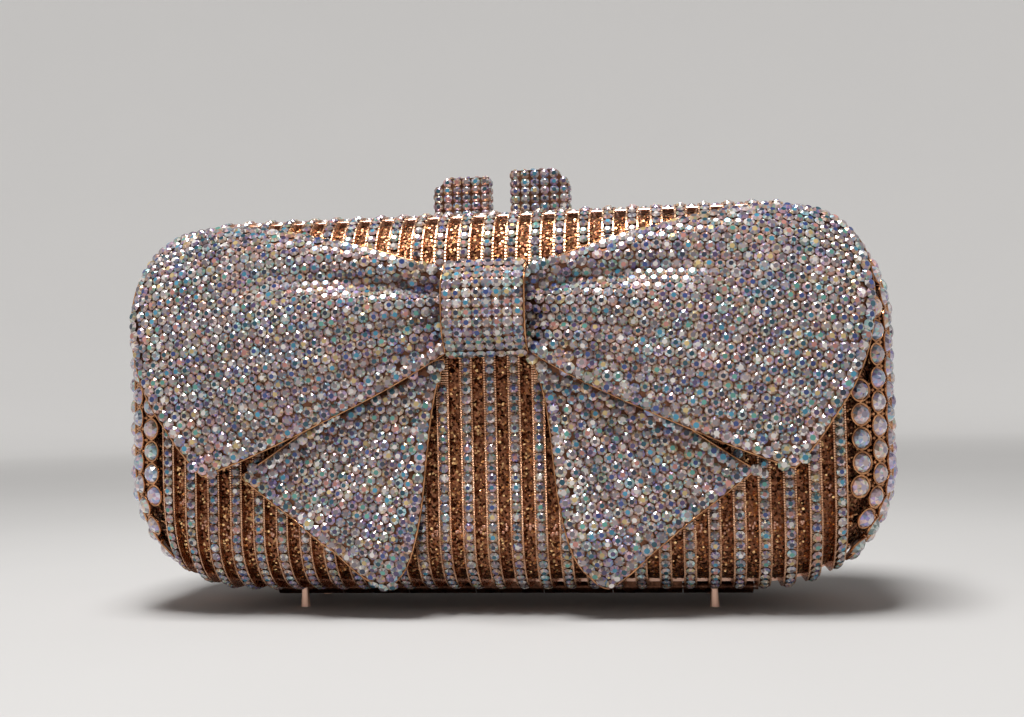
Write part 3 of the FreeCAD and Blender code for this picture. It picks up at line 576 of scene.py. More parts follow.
def evenly(path, pitch, closed=False):
    """Places on a path of (place, direction) about one pitch apart, with the ends kept half a pitch in."""
    if closed:
        path = path + path[:1]
    runs = [0.0]
    for (first, _), (last, _) in zip(path, path[1:]):
        runs.append(runs[-1] + (last - first).length)
    count = max(1, int(round(runs[-1] / pitch)))
    found = []
    at = 0
    for number in range(count):
        run = (number + 0.5) * runs[-1] / count
        while runs[at + 1] < run:
            at += 1
        share = (run - runs[at]) / max(runs[at + 1] - runs[at], 1e-12)
        place = path[at][0].lerp(path[at + 1][0], share)
        found.append((place, path[at][1].lerp(path[at + 1][1], share).normalized()))
    return found


def marks(line, pitch, shift):
    """Places along one line of a skin, a pitch apart measured on the surface, from a shift on."""
    found = []
    travelled = 0.0
    wanted = shift
    for here, ahead in zip(line, line[1:]):
        if travelled >= wanted:
            found.append(here)
            wanted += pitch
        travelled += (ahead[0] - here[0]).length
    return found


def rows_over(skin, lean, pitch):
    """Places in staggered rows over a skin that lean by an angle and keep their distance on it."""
    along = Vector((math.cos(lean), 0, math.sin(lean)))
    across = Vector((-math.sin(lean), 0, math.cos(lean)))
    fine = pitch / LOOKS_PER_PITCH
    steps = int(skin.reach / fine) + 1
    row = pitch * math.sqrt(3)

    def line(start, way):
        """The skin in front of a straight line, as far as it goes."""
        hits = [skin.hit(start + way * (step * fine)) for step in range(steps)]
        return [hit for hit in hits if hit]

    found = []
    for way, first in ((1, 0), (-1, 1)):
        cuts = marks(line(skin.middle, along * way), pitch / 2, first * pitch / 2)
        for number, (place, _) in enumerate(cuts, first):
            start = Vector((place.x, skin.middle.y, place.z))
            odd = number % 2
            found += marks(line(start, across), row, odd * row / 2)
            found += marks(line(start, -across), row, row - odd * row / 2)
    return found


def cloud_of(places):
    """A search tree over places."""
    cloud = KDTree(len(places))
    for index, place in enumerate(places):
        cloud.insert(place, index)
    cloud.balance()
    return cloud


def spread(skin, fixed, free, pitch, rounds=10):
    """Ease the free places apart on the skin."""
    for _ in range(rounds):
        cloud = cloud_of(fixed + free)
        eased = []
        for index, place in enumerate(free, len(fixed)):
            push = Vector()
            for other, at, gap in cloud.find_range(place, pitch):
                if at != index and gap > 0:
                    push += (place - other) * ((pitch - gap) / gap * EASE_SHARE)
            eased.append(skin.drop(place + push)[0])
        free = eased
    return free


def far_from(places, candidates, least):
    """The candidates that keep a distance from all the places."""
    if not places:
        return candidates
    cloud = cloud_of(places)
    return [place for place in candidates if cloud.find(place)[2] >= least]


def spare(places, candidates, least):
    """The candidates that keep a distance from all the places and from each other."""
    near = least * least
    found = []
    for place in far_from(places, candidates, least):
        if all((place - other).length_squared > near for other in found):
            found.append(place)
    return found


def pave(skin, lean, pitch, inset):
    """Seats that cover a skin: a row along its edge, staggered rows inside, and more where it is open."""
    edge = [place for place, _ in edge_row(skin, inset, pitch)]
    edge = spare([], edge, pitch * EDGE_APART)
    inner = spare(edge, [place for place, _ in rows_over(skin, lean, pitch)], pitch * ROWS_APART)
    fine = skin.sample(pitch / SAMPLES_PER_PITCH)
    for _ in range(LAYOUT_ROUNDS):
        inner = spread(skin, edge, inner, pitch * EASE_REACH)
        inner = spare(edge, inner, pitch * EASED_APART)
        inner += spare(edge + inner, fine, pitch * ADDED_APART)
    inner = spare(edge, spread(skin, edge, inner, pitch * LAST_REACH), pitch * LAST_APART)
    return [skin.drop(place) for place in edge + inner]


def panel(skin, pitch, inset):
    """Seats in straight columns and rows over a skin whose edges run up and across."""
    low = min(place.x for place in skin.edge) + inset
    high = max(place.x for place in skin.edge) - inset
    count = int(round((high - low) / pitch)) + 1
    top = skin.middle + UP * skin.reach
    fine = pitch / LOOKS_PER_PITCH
    found = []
    for column in range(count):
        start = Vector((low + (high - low) * column / (count - 1), top.y, top.z))
        hits = [skin.hit(start - UP * (step * fine)) for step in range(int(2 * skin.reach / fine))]
        found += evenly([hit for hit in hits if hit], pitch * KNOT_ROW_SHARE)
    return found


def edge_row(skin, inset, pitch):
    """Places just inside a skin's edge."""
    found = []
    path = [(place, skin.drop(place)[1]) for place in skin.edge]
    ring = evenly(path, pitch, closed=True)
    for index, (place, normal) in enumerate(ring):
        run = ring[(index + 1) % len(ring)][0] - ring[index - 1][0]
        inward = normal.cross(run).normalized()
        if (skin.drop(place + inward * inset)[0] - place).length < inset / 2:
            inward = -inward
        found.append(skin.drop(place + inward * inset))
    return found


def clear_of(seats, covers, height, room):
    """The seats whose stones stand clear of other pieces and aren't deep under them."""
    found = []
    for place, normal in seats:
        top = place + normal * height
        if covers.find_nearest(top, room)[0] is not None:
            continue
        side = normal.orthogonal().normalized()
        other = normal.cross(side)
        sideways = (side, -side, other, -other)
        looks = [normal] + [(normal + way * SIDE_LEAN).normalized() for way in sideways]
        if all(covers.ray_cast(top, look, LOOK_REACH)[0] is not None for look in looks):
            continue
        found.append((place, normal))
    return found


def room_to_grow(seats, pitch):
    """How much larger than the others the stone on each seat can be, from the gaps to its neighbours."""
    cloud = cloud_of([place for place, _ in seats])
    least, most = GROWTH_LIMITS
    found = []
    for place, _ in seats:
        gaps = [gap for _, _, gap in cloud.find_n(place, NEIGHBOURS + 1)[1:]]
        found.append(min(max(sum(gaps) / len(gaps) / pitch, least), most))
    return found


# Shapes that repeat

def only(kind, geometry):
    """The corners or the edges among what an operator made."""
    return [item for item in geometry if isinstance(item, kind)]


def cut_stone(sides=8, rings=STONE_RINGS, girdle=0.30):
    """A round stone of unit radius: a flat table, triangular slopes, a straight girdle and a closed base."""
    stone = bmesh.new()
    loops = []
    for number, (radius, height) in enumerate(rings):
        made = bmesh.ops.create_circle(stone, cap_ends=number == 0, radius=radius, segments=sides)["verts"]
        bmesh.ops.rotate(stone, verts=made, matrix=Matrix.Rotation(number * math.pi / sides, 3, "Z"))
        bmesh.ops.translate(stone, verts=made, vec=(0, 0, height))
        loops.append([edge for edge in stone.edges if all(vert in made for vert in edge.verts)])
    slopes = []
    for upper, lower in zip(loops, loops[1:]):
        slopes += bmesh.ops.bridge_loops(stone, edges=upper + lower)["faces"]
    bmesh.ops.triangulate(stone, faces=slopes)
    wall = bmesh.ops.extrude_edge_only(stone, edges=loops[-1])["geom"]
    bmesh.ops.translate(stone, verts=only(bmesh.types.BMVert, wall), vec=(0, 0, -girdle))
    bmesh.ops.contextual_create(stone, geom=only(bmesh.types.BMEdge, wall))
    bmesh.ops.recalc_face_normals(stone, faces=stone.faces)
    return stone


def wire_ring(radius, wire, steps=18, sides=6):
    """A ring of round wire about Z."""
    ring = bmesh.new()
    made = bmesh.ops.create_circle(ring, cap_ends=False, radius=wire, segments=sides)["verts"]
    bmesh.ops.rotate(ring, verts=made, matrix=Matrix.Rotation(math.pi / 2, 3, "X"))
    bmesh.ops.translate(ring, verts=made, vec=(radius, 0, 0))
    bmesh.ops.spin(ring, geom=ring.verts[:] + ring.edges[:], cent=(0, 0, 0), axis=UP, dvec=(0, 0, 0),
                   angle=2 * math.pi, steps=steps, use_merge=True)
    bmesh.ops.recalc_face_normals(ring, faces=ring.faces)
    return ring


def bar(sides=6):
    """A round bar of unit radius and unit length up from the origin."""
    shape = bmesh.new()
    bmesh.ops.create_cone(shape, cap_ends=True, segments=sides, radius1=1.0, radius2=1.0, depth=1.0)
    bmesh.ops.translate(shape, verts=shape.verts, vec=(0, 0, 0.5))
    return shape


def grain():
    shape = bmesh.new()
    bmesh.ops.create_icosphere(shape, subdivisions=2, radius=1.0)
    return shape


def flake():
    shape = bmesh.new()
    bmesh.ops.create_cone(shape, cap_ends=True, segments=6, radius1=1.0, radius2=1.0, depth=0.12)
    return shape


def facing(normal):
    return UP.rotation_difference(normal).to_matrix().to_4x4()


def seat_matrix(place, normal, radius, spin, rise):
    return (Matrix.Translation(place + normal * rise) @ facing(normal)
            @ Matrix.Rotation(spin, 4, "Z") @ Matrix.Diagonal((radius, radius, radius, 1.0)))


def bar_matrix(start, end, radius):
    run = end - start
    size = Matrix.Diagonal((radius, radius, run.length, 1.0))
    return Matrix.Translation(start) @ facing(run.normalized()) @ size


def repeat(batches):
    """One mesh of shapes repeated: batches of a shape and its matrices."""
    many = bmesh.new()
    for shape, matrices in batches:
        single = bpy.data.meshes.new("single")
        shape.to_mesh(single)
        for matrix in matrices:
            copy = single.copy()
            copy.transform(matrix)
            many.from_mesh(copy)
            bpy.data.meshes.remove(copy)
        bpy.data.meshes.remove(single)
    mesh = bpy.data.meshes.new("repeated")
    many.to_mesh(mesh)
    many.free()
    return mesh


def add_object(name, data):
    item = bpy.data.objects.new(name, data)
    bpy.context.scene.collection.objects.link(item)
    return item


def add_piece(name, mesh, material, body):
    """An object for a finished mesh, riding on a body."""
    mesh.name = name
    mesh.materials.append(material)
    piece = add_object(name, mesh)
    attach(piece, body)
    return piece


def draw_tint(rng, tints):
    shade = rng.choices([tint for _, tint in tints], [weight for weight, _ in tints])[0]
    glow = rng.uniform(*TINT_SPREAD)
    return tuple(min(1.0, channel * glow) for channel in shade)


def facet_of(normal):
    """What the face of an upright stone is, from the way it points."""
    if normal.z > TABLE_LEAN:
        return "table"
    return "slope" if normal.z > SLOPE_LEAN else "side"


def tint_stones(mesh, facets, normals, rng, tables, slopes):
    """Give every facet of the repeated stones its own tint, with painted light on its lower slopes and
    painted shade on its upper ones, kept at the face corners.
    """
    shades = []
    faces = iter(mesh.polygons)
    for normal in normals:
        top = draw_tint(rng, tables)
        ring = draw_tint(rng, slopes)
        for facet, face in zip(facets, faces):
            if facet == "table":
                shades.append(top)
            elif facet == "slope":
                own = draw_tint(rng, slopes)
                # Painted light and shade: slopes that face down are tinted lighter, slopes that face up
                # darker.
                tilt = face.normal - normal * face.normal.dot(normal)
                glow = 1 - PAINTED_FOOT_GLOW_SHARE * tilt.z
                mixed = [OWN_TINT_SHARE * one + (1 - OWN_TINT_SHARE) * two for one, two in zip(own, ring)]
                shades.append(tuple(min(1.0, glow * channel) for channel in mixed))
            else:
                shades.append(UNDER_TINT)
    layer = mesh.attributes.new("facet_tint", "FLOAT_COLOR", "CORNER")
    totals = [face.loop_total for face in mesh.polygons]
    tints = numpy.array([(*shade, 1.0) for shade in shades], dtype=numpy.float32)
    layer.data.foreach_set("color", numpy.repeat(tints, totals, axis=0).ravel())


def set_stones(name, seats, diameter, rise, body, rng, material,
               tables=TABLE_TINTS, slopes=SLOPE_TINTS_AND_GLINTS, stone=None, growth=None):
    """A piece of cut stones on seats, each turned its own way and grown by its own factor if given.

    rise is how far a stone's girdle stands over its seat.
    """
    radius = diameter / 2
    matrices = []
    for (place, normal), grown in zip(seats, growth or [1.0] * len(seats)):
        across = radius * grown * rng.uniform(*SIZE_SPREAD)
        matrices.append(seat_matrix(place, normal, across, rng.uniform(0, math.tau), rise))
    stone = stone or cut_stone()
    stone.normal_update()
    mesh = repeat([(stone, matrices)])
    facets = [facet_of(face.normal) for face in stone.faces]
    tint_stones(mesh, facets, [normal for _, normal in seats], rng, tables, slopes)
    return add_piece(name, mesh, material, body)


def material_of(name, make, *tones, **settings):
    """A finish that is made once and shared."""
    return bpy.data.materials.get(name) or make(name, *tones, **settings)


def rose_gold(colours):
    return material_of("rose_gold", metal_finish, colours.gold, colours.gold_dark, rough=0.2)


# A darker copy of the rose gold, as painted shade.
def lace_gold(colours):
    return material_of("lace_gold", metal_finish, colours.lace, colours.lace_dark, rough=0.2)


def bright_flakes(colours):
    return material_of("bright_flakes", metal_finish, colours.flake, colours.flake_mid, rough=0.16)


def small_stones():
    return material_of("small_stones", stone_finish, rough=0.12, metal=0.35)


def large_crystals():
    return material_of("large_crystals", stone_finish, rough=0.08, metal=0.4)


# Operators, one for each group of pieces

class CLUTCH_OT_finish_metal(bpy.types.Operator):
    """Give every solid its finish"""

    bl_idname = "clutch.finish_metal"
    bl_label = "Finish the solids"

    def execute(self, context):
        sizes = context.scene.clutch_sizes
        colours = context.scene.clutch_colours
        beaded = metal_finish(
            "beaded_rose_gold", colours.gold, colours.gold_dark, rough=0.22, beads=sizes.bead_pitch)
        # A dark copy of the metal: painted shade between the bow's stones and painted shadow on the knuckles.
        shaded_bed = metal_finish("shaded_stone_bed", colours.shaded_bed, colours.shaded_bed_dark, rough=0.3)
        finishes = {
            "rose_gold": rose_gold(colours),
            "stone_set_metal": shaded_bed,
            "end_crystal": large_crystals(),
            "glitter_liner": glitter_finish("copper_glitter", colours),
            "suede_lining": suede_finish("suede", colours.suede),
            "steel_fitting": metal_finish("plain_fittings", colours.steel, colours.gold_dark, rough=0.28),
        }
        slots = {part["node"]: part["material_slot"] for part in frame["record"]["subparts"]}
        for name, node in frame["nodes"].items():
            finish = finishes[slots[name]]
            if name.endswith("_ribs"):
                finish = beaded
            # The hinge knuckles get the dark stone bed as painted shadow under the case.
            elif name.endswith("_knuckles"):
                finish = shaded_bed
            node.data.materials.clear()
            node.data.materials.append(finish)
        return {"FINISHED"}


class CLUTCH_OT_rib_stones(bpy.types.Operator):
    """Set a row of stones in the channel of every rib"""

    bl_idname = "clutch.rib_stones"
    bl_label = "Set the rib stones"

    # How far the girdles stand over the channel's floor, as a share of a stone's radius.
    RISE = 0.5
    # How much room the bow gets round a stone's top, as a share of the stone.
    BOW_ROOM = 0.25

    def execute(self, context):
        sizes = context.scene.clutch_sizes
        bow = node_tree(*BOW_PIECES)
        for half, body, way in HALVES:
            node = half + "_ribs"
            tree = node_tree(node)
            middle = half_middle(half, way)
            mesh = welded(node)
            seats = []
            for rib in patches_of(mesh, math.tau):
                left, right = span_of(rib)
                path = channel_path(tree, middle + RIGHT * ((left + right) / 2), way)
                seats += evenly(path, sizes.rib_pitch)
            mesh.free()
            if half == "front":
                seats = clear_of(seats, bow, sizes.rib_stone / 2, self.BOW_ROOM * sizes.rib_stone)
            rng = random.Random(SEEDS["ribs"] + way)
            rise = self.RISE * sizes.rib_stone / 2
            set_stones(half + "_rib_stones", seats, sizes.rib_stone, rise, body, rng, small_stones())
        return {"FINISHED"}


def half_middle(half, way):
    """The point at x = 0 that stands just off a half's rim, halfway up its ribs."""
    low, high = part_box(half + "_ribs")
    rim_side = high.y if way < 0 else low.y
    return Vector((0, rim_side + way * RIM_ROOM, (low.z + high.z) / 2))


def span_of(faces):
    """The lowest and highest x of some faces."""
    across = [vert.co.x for face in faces for vert in face.verts]
    return min(across), max(across)


def path_round(tree, middle, ways):
    """Places and outward directions of a surface, seen from outside along each of the ways to its middle."""
    path = []
    for out in ways:
        place, normal, _, _ = tree.ray_cast(middle + out * FAR, -out)
        if place is not None and (place - middle).dot(out) > 0:
            path.append((place, normal))
    return path


def channel_path(tree, middle, way, steps=360):
    """The path in a plane of one x, from the ridge round the outside to the base."""
    turns = [math.pi * step / steps for step in range(steps + 1)]
    return path_round(tree, middle, [Vector((0, way * math.sin(turn), math.cos(turn))) for turn in turns])


def gap_paths(half, way):
    """For each gap between ribs of a half: its width and its path over the liner, from ridge to base."""
    mesh = welded(half + "_ribs")
    spans = sorted(span_of(rib) for rib in patches_of(mesh, math.tau))
    mesh.free()
    liner = node_tree(half + "_liner")
    middle = half_middle(half, way)
    found = []
    for (_, right), (left, _) in zip(spans, spans[1:]):
        path = channel_path(liner, middle + RIGHT * ((right + left) / 2), way)
        found.append((left - right, path))
    return found


class CLUTCH_OT_ridge_bars(bpy.types.Operator):
    """Close the gaps between the ribs along the ridge and set stones there"""

    bl_idname = "clutch.ridge_bars"
    bl_label = "Close the gaps at the ridge"

    # The strips end where the liner's outward direction has come down to this angle above level.
    TURN = math.radians(71)
    # How much of a gap's depth a strip fills.
    FILL = 0.6
    RISE = 0.3

    def execute(self, context):
        sizes = context.scene.clutch_sizes
        colours = context.scene.clutch_colours
        for half, body, way in HALVES:
            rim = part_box(half + "_ribs")[1]
            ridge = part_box(half + "_liner")[1].z
            thick = (rim.z - ridge) * self.FILL
            strips = []
            bars = []
            seats = []
            for width, path in gap_paths(half, way):
                top = []
                for place, normal in path:
                    if normal.z < math.sin(self.TURN) * math.hypot(normal.y, normal.z):
                        break
                    top.append((place, normal))
                metal = list(top)
                first = top[0][0]
                # Where the front liner is cut for the clasp, the strip still goes on to the rim.
                if half == "front" and abs(first.y - rim.y) > sizes.rib_pitch / 2:
                    metal.insert(0, (Vector((first.x, rim.y, ridge)), UP))
                strips.append(strip_along(evenly(metal, sizes.rib_pitch / 2), width, thick))
                place, normal = top[-1]
                side = RIGHT * (width / 2)
                edge = place + normal * thick
                bars.append(bar_matrix(edge - side, edge + side, sizes.link_wire))
                seats += [(spot + out * thick, out) for spot, out in evenly(top, sizes.rib_pitch)]
            mesh = repeat([(strip, [Matrix()]) for strip in strips] + [(bar(), bars)])
            add_piece(half + "_ridge_bars", mesh, rose_gold(colours), body)
            rng = random.Random(SEEDS["ridge"] + way)
            rise = self.RISE * sizes.rib_stone / 2
            set_stones(half + "_ridge_stones", seats, sizes.rib_stone, rise, body, rng, small_stones())
        return {"FINISHED"}


def strip_along(path, width, thick):
    """A flat strip of metal laid along a path, closed at both ends."""
    strip = bmesh.new()
    end = bmesh.ops.create_grid(strip, x_segments=1, y_segments=1, size=0.5)["verts"]
    bmesh.ops.scale(strip, verts=end, vec=(width, thick, 1.0))
    bmesh.ops.translate(strip, verts=end, vec=(0, thick / 2, 0))
    before = Matrix()
    for number, (place, normal) in enumerate(path):
        run = RIGHT.cross(normal).normalized()
        here = Matrix.Translation(place) @ Matrix((RIGHT, run.cross(RIGHT), run)).transposed().to_4x4()
        if number:
            cap = max(strip.faces, key=lambda face: face.index)
            made = bmesh.ops.extrude_face_region(strip, geom=[cap])["geom"]
            end = only(bmesh.types.BMVert, made)
            strip.faces.index_update()
        bmesh.ops.transform(strip, verts=end, matrix=here @ before.inverted())
        strip.faces.index_update()
        before = here
    bmesh.ops.recalc_face_normals(strip, faces=strip.faces)
    return strip


class CLUTCH_OT_glitter_flakes(bpy.types.Operator):
    """Scatter large flakes and clusters of grains over the glitter between the ribs"""

    bl_idname = "clutch.glitter_flakes"
    bl_label = "Scatter flakes and grains"

    # Distance between flakes along a gap, as a share of the rib stones' pitch.
    APART = 0.55
    # Sizes of flakes as shares of the largest.
    SIZES = (0.5, 1.0)
    # How far a flake strays from the middle of its gap, and how far it leans at random.
    STRAY = 0.45
    LEAN = 0.35
    # How far a flake's middle stands over the lining, as a share of its radius.
    RISE = 0.3

    def execute(self, context):
        sizes = context.scene.clutch_sizes
        colours = context.scene.clutch_colours
        for half, body, way in HALVES:
            rng = random.Random(SEEDS["glitter"] + way)
            flakes = []
            grains = []
            for width, path in gap_paths(half, way):
                for place, normal in evenly(path, sizes.rib_pitch * self.APART):
                    spot = place + RIGHT * (rng.uniform(-self.STRAY, self.STRAY) * width)
                    lean = Vector([rng.gauss(0, self.LEAN) for _ in range(3)])
                    across = sizes.flake * rng.uniform(*self.SIZES)
                    spin = rng.uniform(0, math.tau)
                    out = (normal + lean).normalized()
                    flakes.append(seat_matrix(spot, out, across, spin, across * self.RISE))
                grains += grain_cluster(path, width, sizes, rng)
            mesh = repeat([(flake(), flakes)])
            add_piece(half + "_flakes", mesh, bright_flakes(colours), body)
            mesh = repeat([(grain(), grains)])
            add_piece(half + "_grains", mesh, rose_gold(colours), body)
        return {"FINISHED"}


# A heap of grains: how many rib stones above the base it lies, how many grains it has and their sizes.
HEAP_HEIGHT = 3
HEAP_COUNT = (4, 7)
HEAP_SIZES = (0.6, 1.0)
# How far its grains stray across and along the gap, as shares of its width, and stand over the lining.
HEAP_ACROSS = 0.3
HEAP_ALONG = 0.5
HEAP_RISE = 0.6


def grain_cluster(path, width, sizes, rng):
    """A few gold grains heaped on a gap's lining near the base."""
    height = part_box("front_ribs")[0].z + HEAP_HEIGHT * sizes.rib_stone
    height += rng.uniform(-1, 1) * sizes.rib_stone
    place, normal = min(path, key=lambda spot: abs(spot[0].z - height) + abs(spot[1].z))
    found = []
    for _ in range(rng.randint(*HEAP_COUNT)):
        radius = sizes.granule * rng.uniform(*HEAP_SIZES)
        across = rng.uniform(-HEAP_ACROSS, HEAP_ACROSS) * width
        along = rng.uniform(-HEAP_ALONG, HEAP_ALONG) * width
        shift = Vector((across, 0, along))
        found.append(seat_matrix(place + shift, normal, radius, 0.0, radius * HEAP_RISE))
    return found


class CLUTCH_OT_bow_stones(bpy.types.Operator):
    """Pave the bow with stones and edge it with wire"""

    bl_idname = "clutch.bow_stones"
    bl_label = "Pave the bow"

    # How far the rows of stones lean on each kind of piece; on the left they lean the other way.
    LEANS = {"loop": math.radians(-6), "tail": math.radians(-52), "knot": 0.0}
    # How much room other pieces of the bow get round a stone's top, as a share of the stone.
    ROOM = 0.26
    RISE = 0.3
    # How close a small stone comes to the others, as a share of both diameters.
    SMALL_APART = 0.48

    def execute(self, context):
        sizes = context.scene.clutch_sizes
        colours = context.scene.clutch_colours
        inset = sizes.bow_stone / 2 + sizes.piping
        room = self.ROOM * sizes.bow_stone
        small = (("fill", sizes.fill_stone), ("seed", sizes.seed_stone))
        for number, node in enumerate(BOW_PIECES):
            skin = Skin(node)
            kind = node.split("_")[1]
            lean = self.LEANS[kind]
            if node.endswith("left"):
                lean = -lean
            if kind == "knot":
                seats = panel(skin, sizes.bow_pitch, inset)
            else:
                seats = pave(skin, lean, sizes.bow_pitch, inset)
            others = node_tree(*[name for name in BOW_PIECES if name != node])
            seats = clear_of(seats, others, room, room)
            rng = random.Random(SEEDS["bow"] + number)
            rise = self.RISE * sizes.bow_stone / 2 - sizes.stone_sink
            set_stones(node + "_stones", seats, sizes.bow_stone, rise, "front_half", rng, small_stones(),
                       growth=room_to_grow(seats, sizes.bow_pitch))
            edge = evenly([(place, UP) for place in skin.edge], sizes.piping, closed=True)
            wire = [place for place, _ in edge]
            fine = skin.sample(sizes.bow_pitch / SAMPLES_PER_PITCH)
            taken = [place for place, _ in seats]
            for label, size in small:
                inside = far_from(wire, fine, size / 2 + sizes.piping)
                holes = spare(taken, inside, self.SMALL_APART * (sizes.bow_stone + size))
                taken += holes
                fill = clear_of([skin.drop(place) for place in holes], others, room, room)
                if fill:
                    rise = self.RISE * size / 2 - sizes.stone_sink / 2
                    set_stones(f"{node}_{label}", fill, size, rise, "front_half", rng, small_stones())
            tube = tube_along(skin.edge, sizes.piping)
            add_piece(node + "_piping", tube, lace_gold(colours), "front_half")
        return {"FINISHED"}


def tube_along(points, radius, closed=True, step=0.001):
    """A mesh tube of round wire along a path, with a corner at every step."""
    path = evenly([(place, UP) for place in points], step, closed)
    curve = bpy.data.curves.new("wire", "CURVE")
    curve.dimensions = "3D"
    curve.bevel_depth = radius
    curve.bevel_resolution = 1
    curve.use_fill_caps = True
    spline = curve.splines.new("POLY")
    spline.points.add(len(path) - 1)
    for point, (place, _) in zip(spline.points, path):
        point.co = (*place, 1.0)
    spline.use_cyclic_u = closed
    holder = bpy.data.objects.new("wire", curve)
    mesh = bpy.data.meshes.new_from_object(holder)
    bpy.data.objects.remove(holder)
    bpy.data.curves.remove(curve)
    return mesh


class CLUTCH_OT_clasp_stones(bpy.types.Operator):
    """Cover the flat sides of the clasp blocks with stones"""

    bl_idname = "clutch.clasp_stones"
    bl_label = "Set the clasp stones"

    BLOCKS = (("clasp_fixed_block", "front_half"), ("clasp_slide_block", "clasp_slide"))
    # Faces that meet at less than this are one side.
    CREASE = math.radians(10)
    # Sides that face further down than this stay bare.
    LOWEST_LEAN = -0.5
    # How far the outer stones' middles stay inside a side's edge, as a share of a stone.
    MARGIN = 0.45
    RISE = 0.1

    def execute(self, context):
        sizes = context.scene.clutch_sizes
        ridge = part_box("front_rim")[1].z
        for number, (node, body) in enumerate(self.BLOCKS):
            mesh = welded(node)
            seats = []
            for patch in patches_of(mesh, self.CREASE):
                lowest = min(vert.co.z for face in patch for vert in face.verts)
                if patch[0].normal.z > self.LOWEST_LEAN and lowest > ridge:
                    seats += grid_on(patch, sizes.clasp_pitch, self.MARGIN * sizes.clasp_stone)
            mesh.free()
            rng = random.Random(SEEDS["clasp"] + number)
            rise = self.RISE * sizes.clasp_stone / 2 - sizes.stone_sink
            set_stones(node + "_stones", seats, sizes.clasp_stone, rise, body, rng, small_stones())
        return {"FINISHED"}


def grid_on(patch, pitch, margin, slack=0.35, stray=0.2):
    """Places in rows and columns on a flat patch, kept a margin inside its edge.

    One more row is squeezed in where no more than 1 - slack of a pitch is lacking for it. A place
    that lies off the patch by more than the share stray of the margin is left out.
    """
    normal = patch[0].normal.copy()
    side = UP.cross(normal)
    side = RIGHT if side.length < 0.1 else side.normalized()
    rise = normal.cross(side)
    points = [vert.co for face in patch for vert in face.verts]
    spans = []
    for axis in (side, rise):
        reach = [point.dot(axis) for point in points]
        spans.append((min(reach) + margin, max(reach) - margin))
    tree = tree_of(patch)
    level = points[0].dot(normal)
    counts = [max(1, int((high - low) / pitch + slack) + 1) for low, high in spans]
    found = []
    for column in range(counts[0]):
        for row in range(counts[1]):
            place = normal * level
            for axis, (low, high), number, count in zip((side, rise), spans, (column, row), counts):
                share = number / (count - 1) if count > 1 else 0.5
                place = place + axis * (low + (high - low) * share)
            if tree.find_nearest(place, margin * stray)[0] is not None:
                found.append((place, normal))
    return found


class CLUTCH_OT_rim_stones(bpy.types.Operator):
    """Set a row of stones along each rim, clear of the hinge and the clasp"""

    bl_idname = "clutch.rim_stones"
    bl_label = "Set the rim stones"

    # Stones sit where the rim faces higher than this, so the hinge stays clear.
    LOWEST_LEAN = -0.7
    # The clasp needs room where the rim faces higher than this.
    RIDGE_LEAN = 0.5
    RISE = 0.36

    def execute(self, context):
        sizes = context.scene.clutch_sizes
        blocks = [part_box(node) for node in ("clasp_fixed_block", "clasp_slide_block")]
        clasp_left = min(low.x for low, _ in blocks) - sizes.rim_stone
        clasp_right = max(high.x for _, high in blocks) + sizes.rim_stone
        for half, body, way in HALVES:
            low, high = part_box(half + "_rim")
            tree = node_tree(half + "_rim")
            middle = (low + high) / 2
            seats = []
            for place, normal in evenly(ring_path(tree, middle), sizes.rim_pitch, closed=True):
                under_clasp = normal.z > self.RIDGE_LEAN and clasp_left < place.x < clasp_right
                if normal.z > self.LOWEST_LEAN and not under_clasp:
                    seats.append((place, normal))
            rng = random.Random(SEEDS["rims"] + way)
            rise = self.RISE * sizes.rim_stone / 2 - 2 * sizes.stone_sink
            set_stones(half + "_rim_stones", seats, sizes.rim_stone, rise, body, rng, small_stones())
        return {"FINISHED"}


def ring_path(tree, middle, steps=720):
    """The path round the outline in the plane of one y."""
    turns = [math.tau * step / steps for step in range(steps)]
    return path_round(tree, middle, [Vector((math.cos(turn), 0, math.sin(turn))) for turn in turns])


class CLUTCH_OT_crystal_ends(bpy.types.Operator):
    """Hang the large crystals of the ends in rings joined by bars"""

    bl_idname = "clutch.crystal_ends"
    bl_label = "Make the crystal ends"

    def execute(self, context):
        sizes = context.scene.clutch_sizes
        colours = context.scene.clutch_colours
        for half, body, way in HALVES:
            liner = node_tree(half + "_liner")
            frame_tree = node_tree(half + "_ribs", half + "_rim")
            for number, side in enumerate(("left", "right")):
                node = f"{half}_crystals_{side}"
                seats, radius = crystal_seats(node, liner)
                rng = random.Random(SEEDS["ends"] + 2 * way + number)
                stone = cut_stone(CRYSTAL_SIDES, CRYSTAL_RINGS)
                stones = set_stones(
                    f"{half}_{side}_crystals", seats, 2 * radius, 0.0, body, rng, large_crystals(),
                    CRYSTAL_TABLE_TINTS, CRYSTAL_TINTS, stone)
                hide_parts(node)
                lace = repeat(lace_batches(seats, radius, sizes, frame_tree))
                piece = add_piece(f"{half}_{side}_lace", lace, lace_gold(colours), body)
                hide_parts(f"{half}_lattice_{side}")
        return {"FINISHED"}


def crystal_seats(node, liner):
    """The middle and outward direction of each crystal of a node, and their radius."""
    mesh = welded(node)
    seats = []
    radius = 0.0
    for crystal in patches_of(mesh, math.tau):
        points = {vert.index: vert.co for face in crystal for vert in face.verts}.values()
        low, high = corners_of(points)
        middle = (low + high) / 2
        foot, _, _, _ = liner.find_nearest(middle)
        normal = (middle - foot).normalized()
        spans = [(point - middle) - normal * (point - middle).dot(normal) for point in points]
        radius = max(span.length for span in spans)
        seats.append((middle, normal))
    mesh.free()
    return seats, radius


# How far a ring's wire stands out from its crystal, as a share of the wire's radius.
RING_ROOM = 0.6
